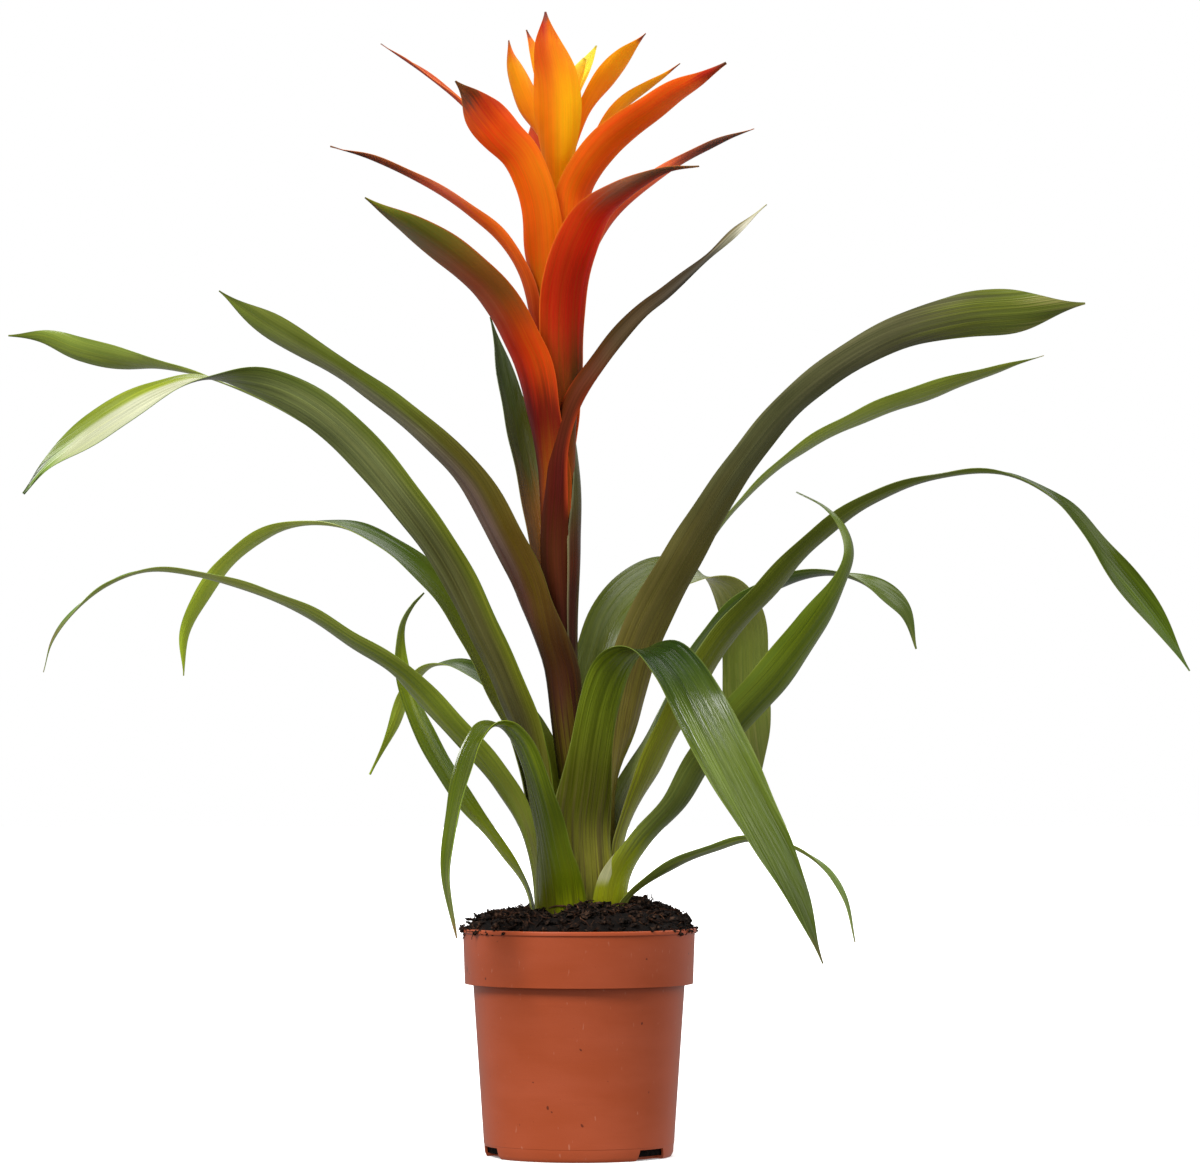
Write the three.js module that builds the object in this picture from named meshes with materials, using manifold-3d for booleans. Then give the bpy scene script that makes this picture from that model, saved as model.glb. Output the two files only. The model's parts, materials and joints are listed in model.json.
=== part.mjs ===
// A potted guzmania: a thin plastic pot of potting soil, a rosette of strap leaves, and a
// flower stalk that carries leaf-like sheaths and, above them, orange and yellow bracts.
// Lengths are in millimetres and +Z is up. The origin is on the ground, in the middle of the
// pot's flat underside. The viewer's side is -Y and +X is on the viewer's right.

import * as THREE from "three";
import { mergeVertices } from "three/addons/utils/BufferGeometryUtils.js";
import Module from "manifold-3d";

const wasm = await Module();
wasm.setup();

// Driving dimensions of the pot. It is the common 12 cm nursery pot.
const POT = {
  height: 116,
  rimRadius: 60,
  collarHeight: 28,
  collarFootRadius: 58.3,
  bodyTopRadius: 54,
  bodyFootRadius: 48,
  baseRadius: 47.2,
  baseEdge: 2,
  wall: 1.3,
  floor: 1.6,
  lipHeight: 2.4,
  lipProud: 0.5,
  lipChamfer: 0.4,
  collarStep: 0.8,
  sides: 48,
};

// Driving dimensions of the drain notches in the pot's bottom edge.
const NOTCH = {
  directions: [-39.5, -160, 80],
  depth: 5,
  height: 5,
  topWidth: 18,
  footWidth: 22,
  below: 1,
  reach: 20,
};

// Driving dimensions of the soil.
const SOIL = {
  clearance: 0.35,
  rimLevel: 113.5,
  crownLevel: 127,
  crownRadius: 33,
  wellRadius: 27,
  wellFloor: 106,
  wellOffset: -1.5,
  lump: 1.6,
  crumb: 0.9,
  dish: 2,
  roundness: 0.7,
  ringShares: [0.9, 0.76, 0.6, 0.44, 0.28, 0.13, 0],
};

// Driving dimensions of the stem, which becomes the flower stalk above the rosette.
const STEM = {
  top: 517,
  rootRadius: 7.5,
  stalkRadius: 4.6,
  topRadius: 3,
  narrowFrom: 125,
  narrowTo: 195,
  heights: [106.4, 125, 145, 170, 195, 230, 270, 315, 360, 400, 440, 470, 500, 517],
  sides: 10,
};

// Driving dimensions shared by all blades.
const BLADE = {
  leafThickness: 0.7,
  bractThickness: 0.65,
  tipHalfWidth: 0.5,
  rosetteSlope: 0.06,
  stalkSlope: 0.0556,
  headSlope: 0.075,
  headFoot: 340,
  opening: 45,
  tipPacking: 1.25,
  bendWeight: 0.35,
  stepsPerSpan: 30,
  mostRings: 20,
  wideWrap: 28,
  fullWrap: 84,
};

// The middle of the plant leans a little to the left on its way up: [x, y, z].
const AXIS = [
  [0.5, 0, 100],
  [0.5, 0, 128],
  [-1.5, 0, 165],
  [-5, 0, 205],
  [-9.5, 0, 283],
  [-10, 0, 360],
  [-13, 0, 436],
  [-10, 0, 498],
  [-6, 0, 530],
];

// Colours and gloss of the materials.
const COLOURS = {
  pot: { color: 0xa85030, roughness: 0.45 },
  soil: { color: 0x35241a, roughness: 0.95 },
  stalk: { color: 0x5a2a22, roughness: 0.5 },
  leaf: { color: 0x4a6b22, roughness: 0.38 },
  darkLeaf: { color: 0x55512c, roughness: 0.4 },
  maroon: { color: 0x7a2a1a, roughness: 0.4 },
  red: { color: 0xc83c0c, roughness: 0.4 },
  orange: { color: 0xe8660c, roughness: 0.4 },
  yellow: { color: 0xf4a010, roughness: 0.42 },
};

// Each blade is written as it grows. The foot says how high it starts, in which direction it
// stands (0 is to the right, 90 is away from the viewer), how far from the middle, and half
// the angle that it wraps. After rising along the stem it passes through the points of path,
// which are [x, y, z]. wide and bank are half its width and its turn about its own length in
// degrees, at even steps from foot to tip. trough is half the angle of its hollow.
const ROSETTE = [
  {
    name: "leaf_right_broad", colour: "darkLeaf",
    foot: { z: 106.4, angle: -22, radius: 16.66, wrap: 36 }, rise: 75.6,
    path: [[21, -13, 222], [31, -28, 262], [55, -50, 308], [81, -74, 349], [109, -98, 381],
      [149, -120, 406], [185, -138, 415], [216, -147, 417], [242, -153, 420]],
    wide: [11, 11.5, 12, 12.5, 12.5, 12, 10.5, 8.8, 7.8, 7.8, 8.4, 10.5, 12, 0.5],
    bank: [0, -10, -30, -46, -52, -54, -56, -62, -70, -74, -70], trough: 26,
  },
  {
    name: "leaf_right_slim", colour: "leaf",
    foot: { z: 106.4, angle: 14, radius: 15.16, wrap: 29 }, rise: 81.6,
    path: [[18, 7, 215], [35, 14, 258], [56, 22, 296], [78, 32, 329], [111, 44, 360],
      [148, 56, 381], [196, 68, 399], [245, 78, 415]],
    wide: [9, 10, 10, 9, 7.5, 6.5, 8, 8.5, 7, 0.5],
    bank: [0, 0, 0, -4, -8, -14, -20, -28, -30, -10], trough: 24,
  },
  {
    name: "leaf_right_long", colour: "leaf",
    foot: { z: 106.4, angle: -12, radius: 20.74, wrap: 30 }, rise: 52.6,
    path: [[36, -12, 196], [54, -17, 232], [72, -21, 262], [93, -26, 285], [117, -30, 311],
      [146, -34, 332], [180, -39, 344], [214, -46, 345], [243, -51, 329], [266, -55, 300],
      [287, -58, 273], [304, -60, 246]],
    wide: [12, 12.5, 12.5, 12, 11, 10, 8.5, 6.5, 5, 7, 9.5, 0.5],
    bank: [0, 0, -18, -28, -28, -24, -20, -6, 4, 36, 66, 60], trough: 30,
  },
  {
    name: "leaf_right_curled", colour: "leaf",
    foot: { z: 106.4, angle: -46, radius: 22.94, wrap: 32 }, rise: 16.6,
    path: [[20, -24, 143], [31, -33, 161], [48, -41, 180], [61, -48, 202], [78, -54, 222],
      [97, -58, 243], [115, -60, 267], [129, -60, 288], [135, -58, 305], [132, -54, 318],
      [123, -49, 328], [109, -44, 336]],
    wide: [13, 10.5, 7.5, 7.5, 8.5, 9.5, 10, 9.5, 6, 3.5, 0.5],
    bank: [0, -4, -14, -22, -26, -26, -20, -10, 0, 0, 0], trough: 34,
  },
  {
    name: "leaf_back_broad", colour: "leaf",
    foot: { z: 106.4, angle: 72, radius: 17.26, wrap: 26 }, rise: 95.6,
    path: [[6, 20, 236], [11, 25, 257], [17, 31, 274], [28, 39, 288], [44, 50, 298],
      [63, 61, 300], [75, 70, 295], [83, 77, 284], [87, 82, 272], [88, 86, 252], [89, 90, 230],
      [91, 92, 211], [95, 94, 183]],
    wide: [11, 12, 13, 13, 13, 13, 12.5, 12.5, 12.5, 12, 0.5],
    bank: [0, 0, 0, 4, 14, 24, 0, -55, -82, -84, -84], trough: 26,
  },
  {
    name: "leaf_right_back", colour: "leaf",
    foot: { z: 106.4, angle: 24, radius: 18.92, wrap: 30 }, rise: 64.6,
    path: [[32, 10, 204], [46, 16, 234], [61, 23, 259], [81, 33, 281], [106, 43, 294],
      [131, 52, 299], [152, 59, 294], [170, 64, 281], [177, 68, 260]],
    wide: [9, 9.5, 9.5, 9.5, 9.5, 9, 8.5, 8, 7, 6.5, 0.5],
    bank: [0, 0, 0, -10, -24, -36, -40, -36, -22, 24, 70], trough: 28,
  },
  {
    name: "leaf_right_low", colour: "leaf",
    foot: { z: 106.4, angle: -34, radius: 25.1, wrap: 9 }, rise: 6.6,
    path: [[22, -15, 127], [29, -21, 136], [48, -33, 149], [67, -42, 157], [85, -49, 162],
      [105, -56, 159], [121, -61, 149], [132, -64, 133], [137, -66, 111]],
    wide: [4, 4.2, 4.6, 5, 5, 5, 4.6, 3.4, 0.5],
    bank: [0, 0, -10, -14, -14, -10, 0, 6, 8], trough: 30,
  },
  {
    name: "leaf_front_broad", colour: "leaf",
    foot: { z: 106.4, angle: -82, radius: 21.74, wrap: 36 }, rise: 62.6,
    path: [[4, -25, 190], [7, -27, 212], [11, -31, 232], [17, -38, 248], [26, -49, 257],
      [38, -63, 257], [49, -77, 246], [59, -91, 228], [72, -103, 202], [86, -111, 175],
      [100, -117, 148], [110, -121, 125], [118, -124, 103]],
    wide: [14, 13, 11.5, 11, 11.5, 13, 14, 14.5, 11.8, 7.8, 0.5],
    bank: [0, 0, 0, 4, 20, 50, 64, 62, 54, 44, 30], trough: 26,
  },
  {
    name: "leaf_front_left", colour: "leaf",
    foot: { z: 106.4, angle: -116, radius: 24.04, wrap: 36 }, rise: 16.6,
    path: [[-12, -33, 147], [-15, -40, 165], [-19, -47, 182], [-24, -53, 198], [-30, -59, 212],
      [-37, -64, 219], [-45, -70, 219], [-52, -75, 210], [-57, -79, 195], [-61, -82, 178],
      [-64, -85, 160], [-65, -87, 142], [-60, -89, 114]],
    wide: [15, 14, 12.5, 11.5, 10.5, 10, 9.5, 9, 8, 5.5, 0.5],
    bank: [0, -8, -14, -20, -24, -24, -20, -14, -10, -6, 0], trough: 32,
  },
  {
    name: "leaf_left_hooked", colour: "leaf",
    foot: { z: 106.4, angle: 173, radius: 23.1, wrap: 16 }, rise: 6.6,
    path: [[-27, 5, 136], [-42, 8, 159], [-62, 11, 185], [-78, 14, 212], [-88, 16, 235],
      [-92, 18, 255], [-91, 20, 271], [-86, 22, 281], [-80, 24, 288]],
    wide: [6, 6.4, 7, 7.5, 7.5, 7, 5.5, 3.4, 0.5],
    bank: [0, 0, -16, -30, -40, -44, -40, -30, -20], trough: 30,
  },
  {
    name: "leaf_left_short", colour: "leaf",
    foot: { z: 106.4, angle: 114, radius: 21.38, wrap: 28 }, rise: 68.6,
    path: [[-21, 25, 213], [-34, 32, 231], [-49, 42, 245], [-65, 52, 252], [-80, 60, 250],
      [-90, 66, 238], [-98, 70, 218], [-110, 74, 194]],
    wide: [10, 9, 8, 7.5, 7, 6.5, 6, 4.5, 0.5],
    bank: [0, 0, -6, -10, -4, 10, 36, 50, 50], trough: 28,
  },
  {
    name: "leaf_left_long", colour: "leaf",
    foot: { z: 106.4, angle: 200, radius: 21.64, wrap: 24 }, rise: 40.6,
    path: [[-32, -11, 178], [-47, -17, 200], [-68, -24, 223], [-90, -32, 246], [-115, -39, 262],
      [-139, -46, 277], [-164, -53, 287], [-190, -60, 294], [-214, -66, 296], [-233, -72, 289],
      [-249, -77, 276], [-260, -81, 260], [-264, -84, 245]],
    wide: [10, 10.5, 10.5, 10, 9, 8.5, 8, 6.5, 5.5, 4.5, 0.5],
    bank: [0, 0, 16, 24, 24, 16, 10, 4, 0, 0, 0], trough: 30,
  },
  {
    name: "leaf_left_arch", colour: "leaf",
    foot: { z: 106.4, angle: 160, radius: 19.98, wrap: 27 }, rise: 63.6,
    path: [[-30, 13, 207], [-42, 18, 235], [-55, 24, 263], [-72, 31, 290], [-94, 38, 310],
      [-119, 45, 323], [-146, 52, 325], [-167, 58, 318], [-185, 63, 304], [-198, 67, 287],
      [-207, 70, 268], [-208, 72, 246]],
    wide: [10, 10, 10, 9.5, 9.5, 9.5, 9.5, 8.5, 7.5, 6, 0.5],
    bank: [0, 0, -6, -14, -24, -28, -20, 0, 18, 26, 30], trough: 30,
  },
  {
    name: "leaf_left_broad", colour: "leaf",
    foot: { z: 106.4, angle: 212, radius: 18.32, wrap: 34 }, rise: 70.6,
    path: [[-25, -13, 209], [-34, -20, 235], [-47, -29, 264], [-65, -41, 300], [-87, -54, 331],
      [-114, -66, 362], [-138, -76, 380], [-163, -84, 389], [-188, -92, 389], [-207, -98, 382],
      [-225, -104, 371], [-243, -110, 358], [-260, -114, 344], [-270, -116, 331]],
    wide: [11, 12, 11.5, 10.5, 10, 10, 10.5, 9.5, 8, 9.5, 0.5],
    bank: [0, 0, 10, 22, 32, 42, 52, 44, -34, -58, -50], trough: 26,
  },
  {
    name: "leaf_left_tall", colour: "leaf",
    foot: { z: 106.4, angle: 165, radius: 15.46, wrap: 32 }, rise: 85.6,
    path: [[-27, 9, 220], [-36, 14, 246], [-48, 20, 276], [-66, 28, 308], [-88, 37, 334],
      [-113, 46, 356], [-140, 55, 376], [-167, 62, 391], [-193, 68, 402], [-218, 74, 409],
      [-241, 80, 413], [-265, 86, 419], [-284, 92, 426], [-303, 96, 427]],
    wide: [10, 11, 11, 11, 10.5, 10, 9.5, 8, 5.5, 3, 2.6, 7.4, 7.2, 0.5],
    bank: [0, 0, 6, 10, 14, 16, 14, 8, 10, 54, 60], trough: 26,
  },
];

// The leaf-like sheaths and the bracts that stand on the stalk, from the lowest to the top.
const STALK_BLADES = [
  {
    name: "stalk_leaf_left", colour: "darkLeaf", thick: "leafThickness",
    foot: { z: 192, angle: 215, radius: 5.4, wrap: 100 }, rise: 48,
    path: [[-20, -10, 270], [-27, -15, 293], [-39, -22, 317], [-53, -30, 342], [-72, -38, 362],
      [-90, -43, 377], [-111, -49, 392], [-137, -55, 408], [-164, -60, 424], [-179, -63, 435]],
    wide: [10, 11, 11.5, 11.5, 11, 9.2, 7.8, 6.6, 6.2, 7.8, 0.5],
    bank: [0, 0, 10, 22, 30, 34, 34, 34, 34], trough: 30,
  },
  {
    name: "stalk_leaf_back", colour: "leaf", thick: "leafThickness",
    foot: { z: 211, angle: 145, radius: 5.4, wrap: 90 }, rise: 60,
    path: [[-21, 14, 315], [-28, 22, 345], [-35, 30, 374], [-42, 38, 403], [-47, 45, 432]],
    wide: [9, 10, 10.5, 11, 10.5, 8.5, 0.5],
    bank: [0, 0, 10, 16, 20, 20, 16], trough: 32,
  },
  {
    name: "stalk_leaf_right", colour: "leaf", thick: "leafThickness",
    foot: { z: 232, angle: 62, radius: 5.4, wrap: 62 }, rise: 45,
    path: [[-4, 12, 330], [-4, 20, 358], [-4, 30, 384], [-6, 42, 406]],
    wide: [8, 8, 8, 7.5, 7, 5, 0.5],
    bank: [0, 0, 0, -4, -6, -6, 0], trough: 34,
  },
  {
    name: "bract_right_slim", colour: "maroon",
    foot: { z: 252, angle: -48, radius: 5.3, wrap: 92 }, rise: 60,
    path: [[-5, -12, 364], [2, -17, 390], [11, -20, 406], [19, -23, 416], [32, -27, 429],
      [43, -31, 437], [54, -34, 446], [65, -37, 455], [77, -40, 466], [87, -43, 474],
      [94, -45, 480]],
    wide: [8, 8.5, 8.5, 6.5, 5.5, 4.5, 3.5, 2.5, 3.2, 3, 0.5],
    bank: [0, 0, 0, 0, 0, 0, 0, 0, -20, -30, -10], trough: 40,
  },
  {
    name: "bract_left_low", colour: "red",
    foot: { z: 272, angle: 220, radius: 5.3, wrap: 86 }, rise: 70,
    path: [[-19, -10, 374], [-24, -17, 402], [-30, -22, 415], [-37, -28, 428], [-45, -33, 439],
      [-56, -37, 449], [-69, -41, 459], [-83, -45, 468], [-98, -48, 477], [-107, -50, 483]],
    wide: [9, 10, 11, 12, 12.5, 12, 11, 9, 0.5],
    bank: [0, 0, 0, 8, 14, 20, 24, 24, 20], trough: 36,
  },
  {
    name: "bract_back_low", colour: "orange",
    foot: { z: 290, angle: 85, radius: 5.3, wrap: 50 }, rise: 50,
    path: [[-10, 16, 372], [-8, 26, 396], [-5, 38, 416], [-2, 50, 430]],
    wide: [9, 10, 11, 11.5, 10.5, 7.5, 0.5],
    bank: [0, 0, 0, 0, 0, 0, 0], trough: 36,
  },
  {
    name: "bract_right_front", colour: "red",
    foot: { z: 311, angle: -62, radius: 5.3, wrap: 95 }, rise: 50,
    path: [[-8, -11, 402], [-8, -15, 427], [-6, -21, 445], [-1, -28, 461], [8, -35, 477],
      [20, -41, 486], [32, -46, 492], [45, -50, 497], [60, -54, 498]],
    wide: [9, 10, 11, 12.5, 13, 13.5, 12, 6.5, 0.5],
    bank: [0, 0, 0, -6, -10, -12, -10, 0, 0], trough: 42,
  },
  {
    name: "bract_left_slim", colour: "red",
    foot: { z: 350, angle: 188, radius: 5.3, wrap: 75 }, rise: 44,
    path: [[-23, -5, 428], [-28, -9, 449], [-40, -15, 467], [-56, -21, 480], [-79, -27, 494],
      [-105, -33, 505], [-125, -38, 510]],
    wide: [8, 8, 7.5, 7, 6.5, 6, 5, 4, 0.5],
    bank: [0, 0, 10, 20, 26, 28, 26, 20, 0], trough: 46,
  },
  {
    name: "bract_right_back", colour: "orange",
    foot: { z: 366, angle: 25, radius: 5.3, wrap: 80 }, rise: 42,
    path: [[-1, 9, 438], [5, 15, 459], [16, 21, 480], [32, 27, 497], [48, 33, 509], [69, 39, 521],
      [91, 44, 530]],
    wide: [8, 8.5, 9, 8.5, 8, 7, 6, 4, 0.5],
    bank: [0, 0, 0, -10, -16, -20, -20, -16, 0], trough: 42,
  },
  {
    name: "bract_left_front", colour: "orange",
    foot: { z: 384, angle: 242, radius: 5.3, wrap: 95 }, rise: 42,
    path: [[-18, -14, 462], [-20, -20, 481], [-24, -25, 495], [-30, -29, 507], [-39, -33, 516],
      [-48, -37, 526], [-55, -41, 535], [-62, -44, 542]],
    wide: [10, 11.5, 13, 13.5, 12.5, 12.5, 13.5, 12.5, 0.5],
    bank: [0, 0, 4, 8, 12, 18, 24, 28, 24], trough: 40,
  },
  {
    name: "bract_right_high", colour: "orange",
    foot: { z: 402, angle: -44, radius: 5.3, wrap: 92 }, rise: 42,
    path: [[-4, -12, 472], [-2, -14, 490], [4, -17, 502], [13, -20, 513], [24, -23, 522],
      [36, -27, 530], [48, -31, 538], [60, -34, 544], [67, -36, 548], [74, -38, 552]],
    wide: [9, 9.5, 10.5, 11, 10.5, 10, 9, 7.5, 0.5],
    bank: [0, 0, -6, -16, -22, -22, -22, -20, -18], trough: 38,
  },
  {
    name: "bract_left_back", colour: "orange",
    foot: { z: 420, angle: 150, radius: 5.2, wrap: 75 }, rise: 38,
    path: [[-24, 10, 482], [-33, 16, 504], [-45, 22, 523], [-60, 29, 541], [-80, 36, 558],
      [-103, 43, 574]],
    wide: [8, 8.5, 8.5, 8, 7, 6, 5, 3.5, 0.5],
    bank: [0, 0, 4, 8, 10, 10, 8, 4, 0], trough: 44,
  },
  {
    name: "bract_back_high", colour: "red",
    foot: { z: 436, angle: 100, radius: 5.1, wrap: 66 }, rise: 36,
    path: [[-14, 14, 494], [-17, 23, 511], [-19, 34, 524], [-18, 46, 531]],
    wide: [9, 10, 12, 12.5, 12, 8, 0.5],
    bank: [0, 0, 0, 0, 0, 0, 0], trough: 38,
  },
  {
    name: "bract_right_gold", colour: "yellow",
    foot: { z: 452, angle: 18, radius: 5.0, wrap: 70 }, rise: 32,
    path: [[3, 6, 507], [8, 7, 518], [15, 9, 527], [25, 12, 537], [36, 15, 545], [45, 17, 553],
      [52, 18, 560]],
    wide: [7, 8, 8.5, 8, 7, 5.5, 0.5],
    bank: [0, 0, -10, -20, -28, -30, -16], trough: 36,
  },
  {
    name: "bract_front_gold", colour: "yellow",
    foot: { z: 467, angle: -95, radius: 4.9, wrap: 86 }, rise: 26,
    path: [[-11, -13, 510], [-11, -17, 528], [-12, -19, 547], [-16, -19, 565], [-17, -17, 581]],
    wide: [9, 10.5, 12, 13, 13.5, 12.5, 9, 0.5],
    bank: [0, 0, 0, 0, 0, 0, 0, 0], trough: 40,
  },
  {
    name: "bract_left_gold", colour: "yellow",
    foot: { z: 481, angle: 180, radius: 4.8, wrap: 75 }, rise: 18,
    path: [[-17, 2, 514], [-23, 4, 530], [-30, 7, 546], [-35, 10, 560], [-36, 12, 571]],
    wide: [6.5, 7, 7.5, 8, 7.5, 5, 0.5],
    bank: [0, 0, 8, 16, 20, 20, 10], trough: 34,
  },
  {
    name: "bract_right_small", colour: "yellow",
    foot: { z: 494, angle: -8, radius: 4.6, wrap: 75 }, rise: 16,
    path: [[0, 0, 521], [5, -1, 535], [13, -2, 548], [23, -3, 560], [34, -5, 572]],
    wide: [6.5, 7.5, 9, 10, 10, 7, 0.5],
    bank: [0, 0, -8, -18, -24, -26, -20], trough: 34,
  },
  {
    name: "bract_back_small", colour: "yellow",
    foot: { z: 506, angle: 120, radius: 4.4, wrap: 70 }, rise: 14,
    path: [[-13, 8, 532], [-17, 11, 548], [-22, 14, 563], [-27, 16, 577]],
    wide: [6, 6.5, 7, 7, 6, 4, 0.5],
    bank: [0, 0, 0, 0, 0, 0, 0], trough: 34,
  },
  {
    name: "floret_tall", colour: "yellow",
    foot: { z: 517.4, angle: 60, radius: 2.6, wrap: 60 }, rise: 12,
    path: [[-2, 5, 543], [3, 8, 556], [9, 10, 568]],
    wide: [2.6, 3.5, 4.6, 4.6, 3, 0.5],
    bank: [0, 0, 0, -6, -8, 0], trough: 34,
  },
  {
    name: "floret_low", colour: "yellow",
    foot: { z: 517.4, angle: -60, radius: 2.4, wrap: 60 }, rise: 12,
    path: [[-4, -1, 541], [-1, 0, 551], [3, 1, 560]],
    wide: [2.4, 3.2, 4.2, 4.2, 2.8, 0.5],
    bank: [0, 0, 0, 0, 0, 0], trough: 34,
  },
];

const degrees = THREE.MathUtils.degToRad;
const up = new THREE.Vector3(0, 0, 1);
const axisCurve = new THREE.CatmullRomCurve3(AXIS.map((p) => new THREE.Vector3(...p)));

// Find the middle of the plant at a height.
function axisAt(z) {
  let low = 0;
  let high = 1;
  for (let i = 0; i < 30; i += 1) {
    const middle = (low + high) / 2;
    if (axisCurve.getPoint(middle).z < z) low = middle;
    else high = middle;
  }
  const point = axisCurve.getPoint(low);
  return new THREE.Vector3(point.x, point.y, z);
}

// Read a list of evenly spaced values as one smooth curve, at a place from 0 to 1.
function readAlong(values, place) {
  const last = values.length - 1;
  const scaled = THREE.MathUtils.clamp(place, 0, 1) * last;
  const index = Math.min(Math.floor(scaled), last - 1);
  const before = values[Math.max(index - 1, 0)];
  const after = values[Math.min(index + 2, last)];
  const start = values[index];
  const end = values[index + 1];
  const t = scaled - index;
  const startSlope = (end - before) / 2;
  const endSlope = (after - start) / 2;
  const h = t * t * (3 - 2 * t);
  return start + (end - start) * h + startSlope * t * (1 - t) ** 2 - endSlope * t * t * (1 - t);
}

// Turn a list of triangles into a geometry whose faces point out.
function closedGeometry(positions, triangles) {
  let volume = 0;
  const [a, b, c] = [new THREE.Vector3(), new THREE.Vector3(), new THREE.Vector3()];
  for (const [i, j, k] of triangles) {
    a.fromArray(positions, i * 3);
    b.fromArray(positions, j * 3);
    c.fromArray(positions, k * 3);
    volume += a.dot(b.cross(c));
  }
  const index = triangles.flatMap(([i, j, k]) => (volume < 0 ? [i, k, j] : [i, j, k]));
  const geometry = new THREE.BufferGeometry();
  geometry.setAttribute("position", new THREE.Float32BufferAttribute(positions, 3));
  geometry.setIndex(index);
  geometry.computeVertexNormals();
  return geometry;
}

// Two triangles for each cell of a grid of points, every cell split the same way.
function gridTriangles(rows, columns, offset, closedRing) {
  const triangles = [];
  const cells = closedRing ? columns : columns - 1;
  for (let i = 0; i < rows - 1; i += 1) {
    for (let j = 0; j < cells; j += 1) {
      const a = offset + i * columns + j;
      const b = offset + i * columns + ((j + 1) % columns);
      triangles.push([a, b, b + columns], [a, b + columns, a + columns]);
    }
  }
  return triangles;
}

// The line of a blade's middle, with its frame, at many small steps from foot to tip.
function bladeFrames(blade, slope) {
  const { foot, rise, path, bank } = blade;
  const angle = degrees(foot.angle);
  const outward = new THREE.Vector3(Math.cos(angle), Math.sin(angle), 0);
  const inward = outward.clone().negate();
  const sheath = [0, 0.5, 1].map((share) => {
    const climbed = share * rise;
    const reach = foot.radius + slope * climbed;
    return axisAt(foot.z + climbed).addScaledVector(outward, reach);
  });
  const controls = [...sheath, ...path.map((p) => new THREE.Vector3(...p))];
  const curve = new THREE.CatmullRomCurve3(controls, false, "centripetal");
  const steps = BLADE.stepsPerSpan * (controls.length - 1);
  const points = curve.getPoints(steps);
  const lengths = [0];
  for (let i = 1; i <= steps; i += 1) {
    lengths.push(lengths[i - 1] + points[i].distanceTo(points[i - 1]));
  }
  const whole = lengths[steps];
  const sheathEnd = lengths[BLADE.stepsPerSpan * (sheath.length - 1)];
  const frames = [];
  const carried = inward.clone();
  let measure = 0;
  let lastTangent = null;
  points.forEach((point, i) => {
    const tangent = points[Math.min(i + 1, steps)].clone();
    tangent.sub(points[Math.max(i - 1, 0)]).normalize();
    carried.addScaledVector(tangent, -carried.dot(tangent)).normalize();
    const place = lengths[i] / whole;
    const turned = carried.clone().applyAxisAngle(tangent, degrees(readAlong(bank, place)));
    const open = THREE.MathUtils.smoothstep(lengths[i], sheathEnd, sheathEnd + BLADE.opening);
    const normal = inward.clone().multiplyScalar(1 - open).addScaledVector(turned, open);
    normal.normalize();
    const side = tangent.clone().cross(normal).normalize();
    const bend = lastTangent ? lastTangent.angleTo(tangent) : 0;
    measure += (i ? (lengths[i] - lengths[i - 1]) / whole : 0) + bend * BLADE.bendWeight;
    lastTangent = tangent;
    const reach = foot.radius + slope * Math.min(lengths[i], rise);
    frames.push({ point, normal, side, place, open, reach, measure });
  });
  return frames;
}

// One blade as a closed solid: a front and a back surface joined by a rim.
function bladeGeometry(blade, slope, thickness, strips, rings) {
  const frames = bladeFrames(blade, slope);
  const last = frames[frames.length - 1].measure;
  const wrap = degrees(blade.foot.wrap);
  const trough = degrees(blade.trough);
  const front = [];
  const back = [];
  for (let ring = 0; ring <= rings; ring += 1) {
    const target = (1 - (1 - ring / rings) ** BLADE.tipPacking) * last;
    const frame = frames.find((f) => f.measure >= target - 1e-9) ?? frames[frames.length - 1];
    const { point, normal, side, place, open, reach } = frame;
    const spread = THREE.MathUtils.lerp(wrap, trough, open);
    const bladeWidth = Math.max(readAlong(blade.wide, place), BLADE.tipHalfWidth);
    const halfWidth = THREE.MathUtils.lerp(reach * wrap, bladeWidth, open);
    const radius = halfWidth / spread;
    const hollow = radius * (1 - Math.cos(spread));
    for (let strip = 0; strip <= strips; strip += 1) {
      const turn = ((2 * strip) / strips - 1) * spread;
      const centre = point.clone();
      centre.addScaledVector(side, radius * Math.sin(turn));
      centre.addScaledVector(normal, radius * (1 - Math.cos(turn)) - 0.5 * hollow * open);
      const out = normal.clone().multiplyScalar(Math.cos(turn));
      out.addScaledVector(side, -Math.sin(turn));
      front.push(...centre.clone().addScaledVector(out, thickness / 2).toArray());
      back.push(...centre.clone().addScaledVector(out, -thickness / 2).toArray());
    }
  }
  const columns = strips + 1;
  const count = (rings + 1) * columns;
  const triangles = gridTriangles(rings + 1, columns, 0, false);
  for (const [a, b, c] of gridTriangles(rings + 1, columns, count, false)) {
    triangles.push([a, c, b]);
  }
  const rim = [];
  for (let j = 0; j < strips; j += 1) rim.push(j);
  for (let i = 0; i < rings; i += 1) rim.push(i * columns + strips);
  for (let j = strips; j > 0; j -= 1) rim.push(rings * columns + j);
  for (let i = rings; i > 0; i -= 1) rim.push(i * columns);
  rim.forEach((a, i) => {
    const b = rim[(i + 1) % rim.length];
    triangles.push([a, a + count, b + count], [a, b + count, b]);
  });
  return closedGeometry([...front, ...back], triangles);
}

// Hand a geometry to the solid library.
function toSolid(geometry) {
  const bare = geometry.clone();
  bare.deleteAttribute("normal");
  bare.deleteAttribute("uv");
  const merged = mergeVertices(bare, 1e-4);
  return new wasm.Manifold(new wasm.Mesh({
    numProp: 3,
    vertProperties: new Float32Array(merged.attributes.position.array),
    triVerts: new Uint32Array(merged.index.array),
  }));
}

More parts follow.
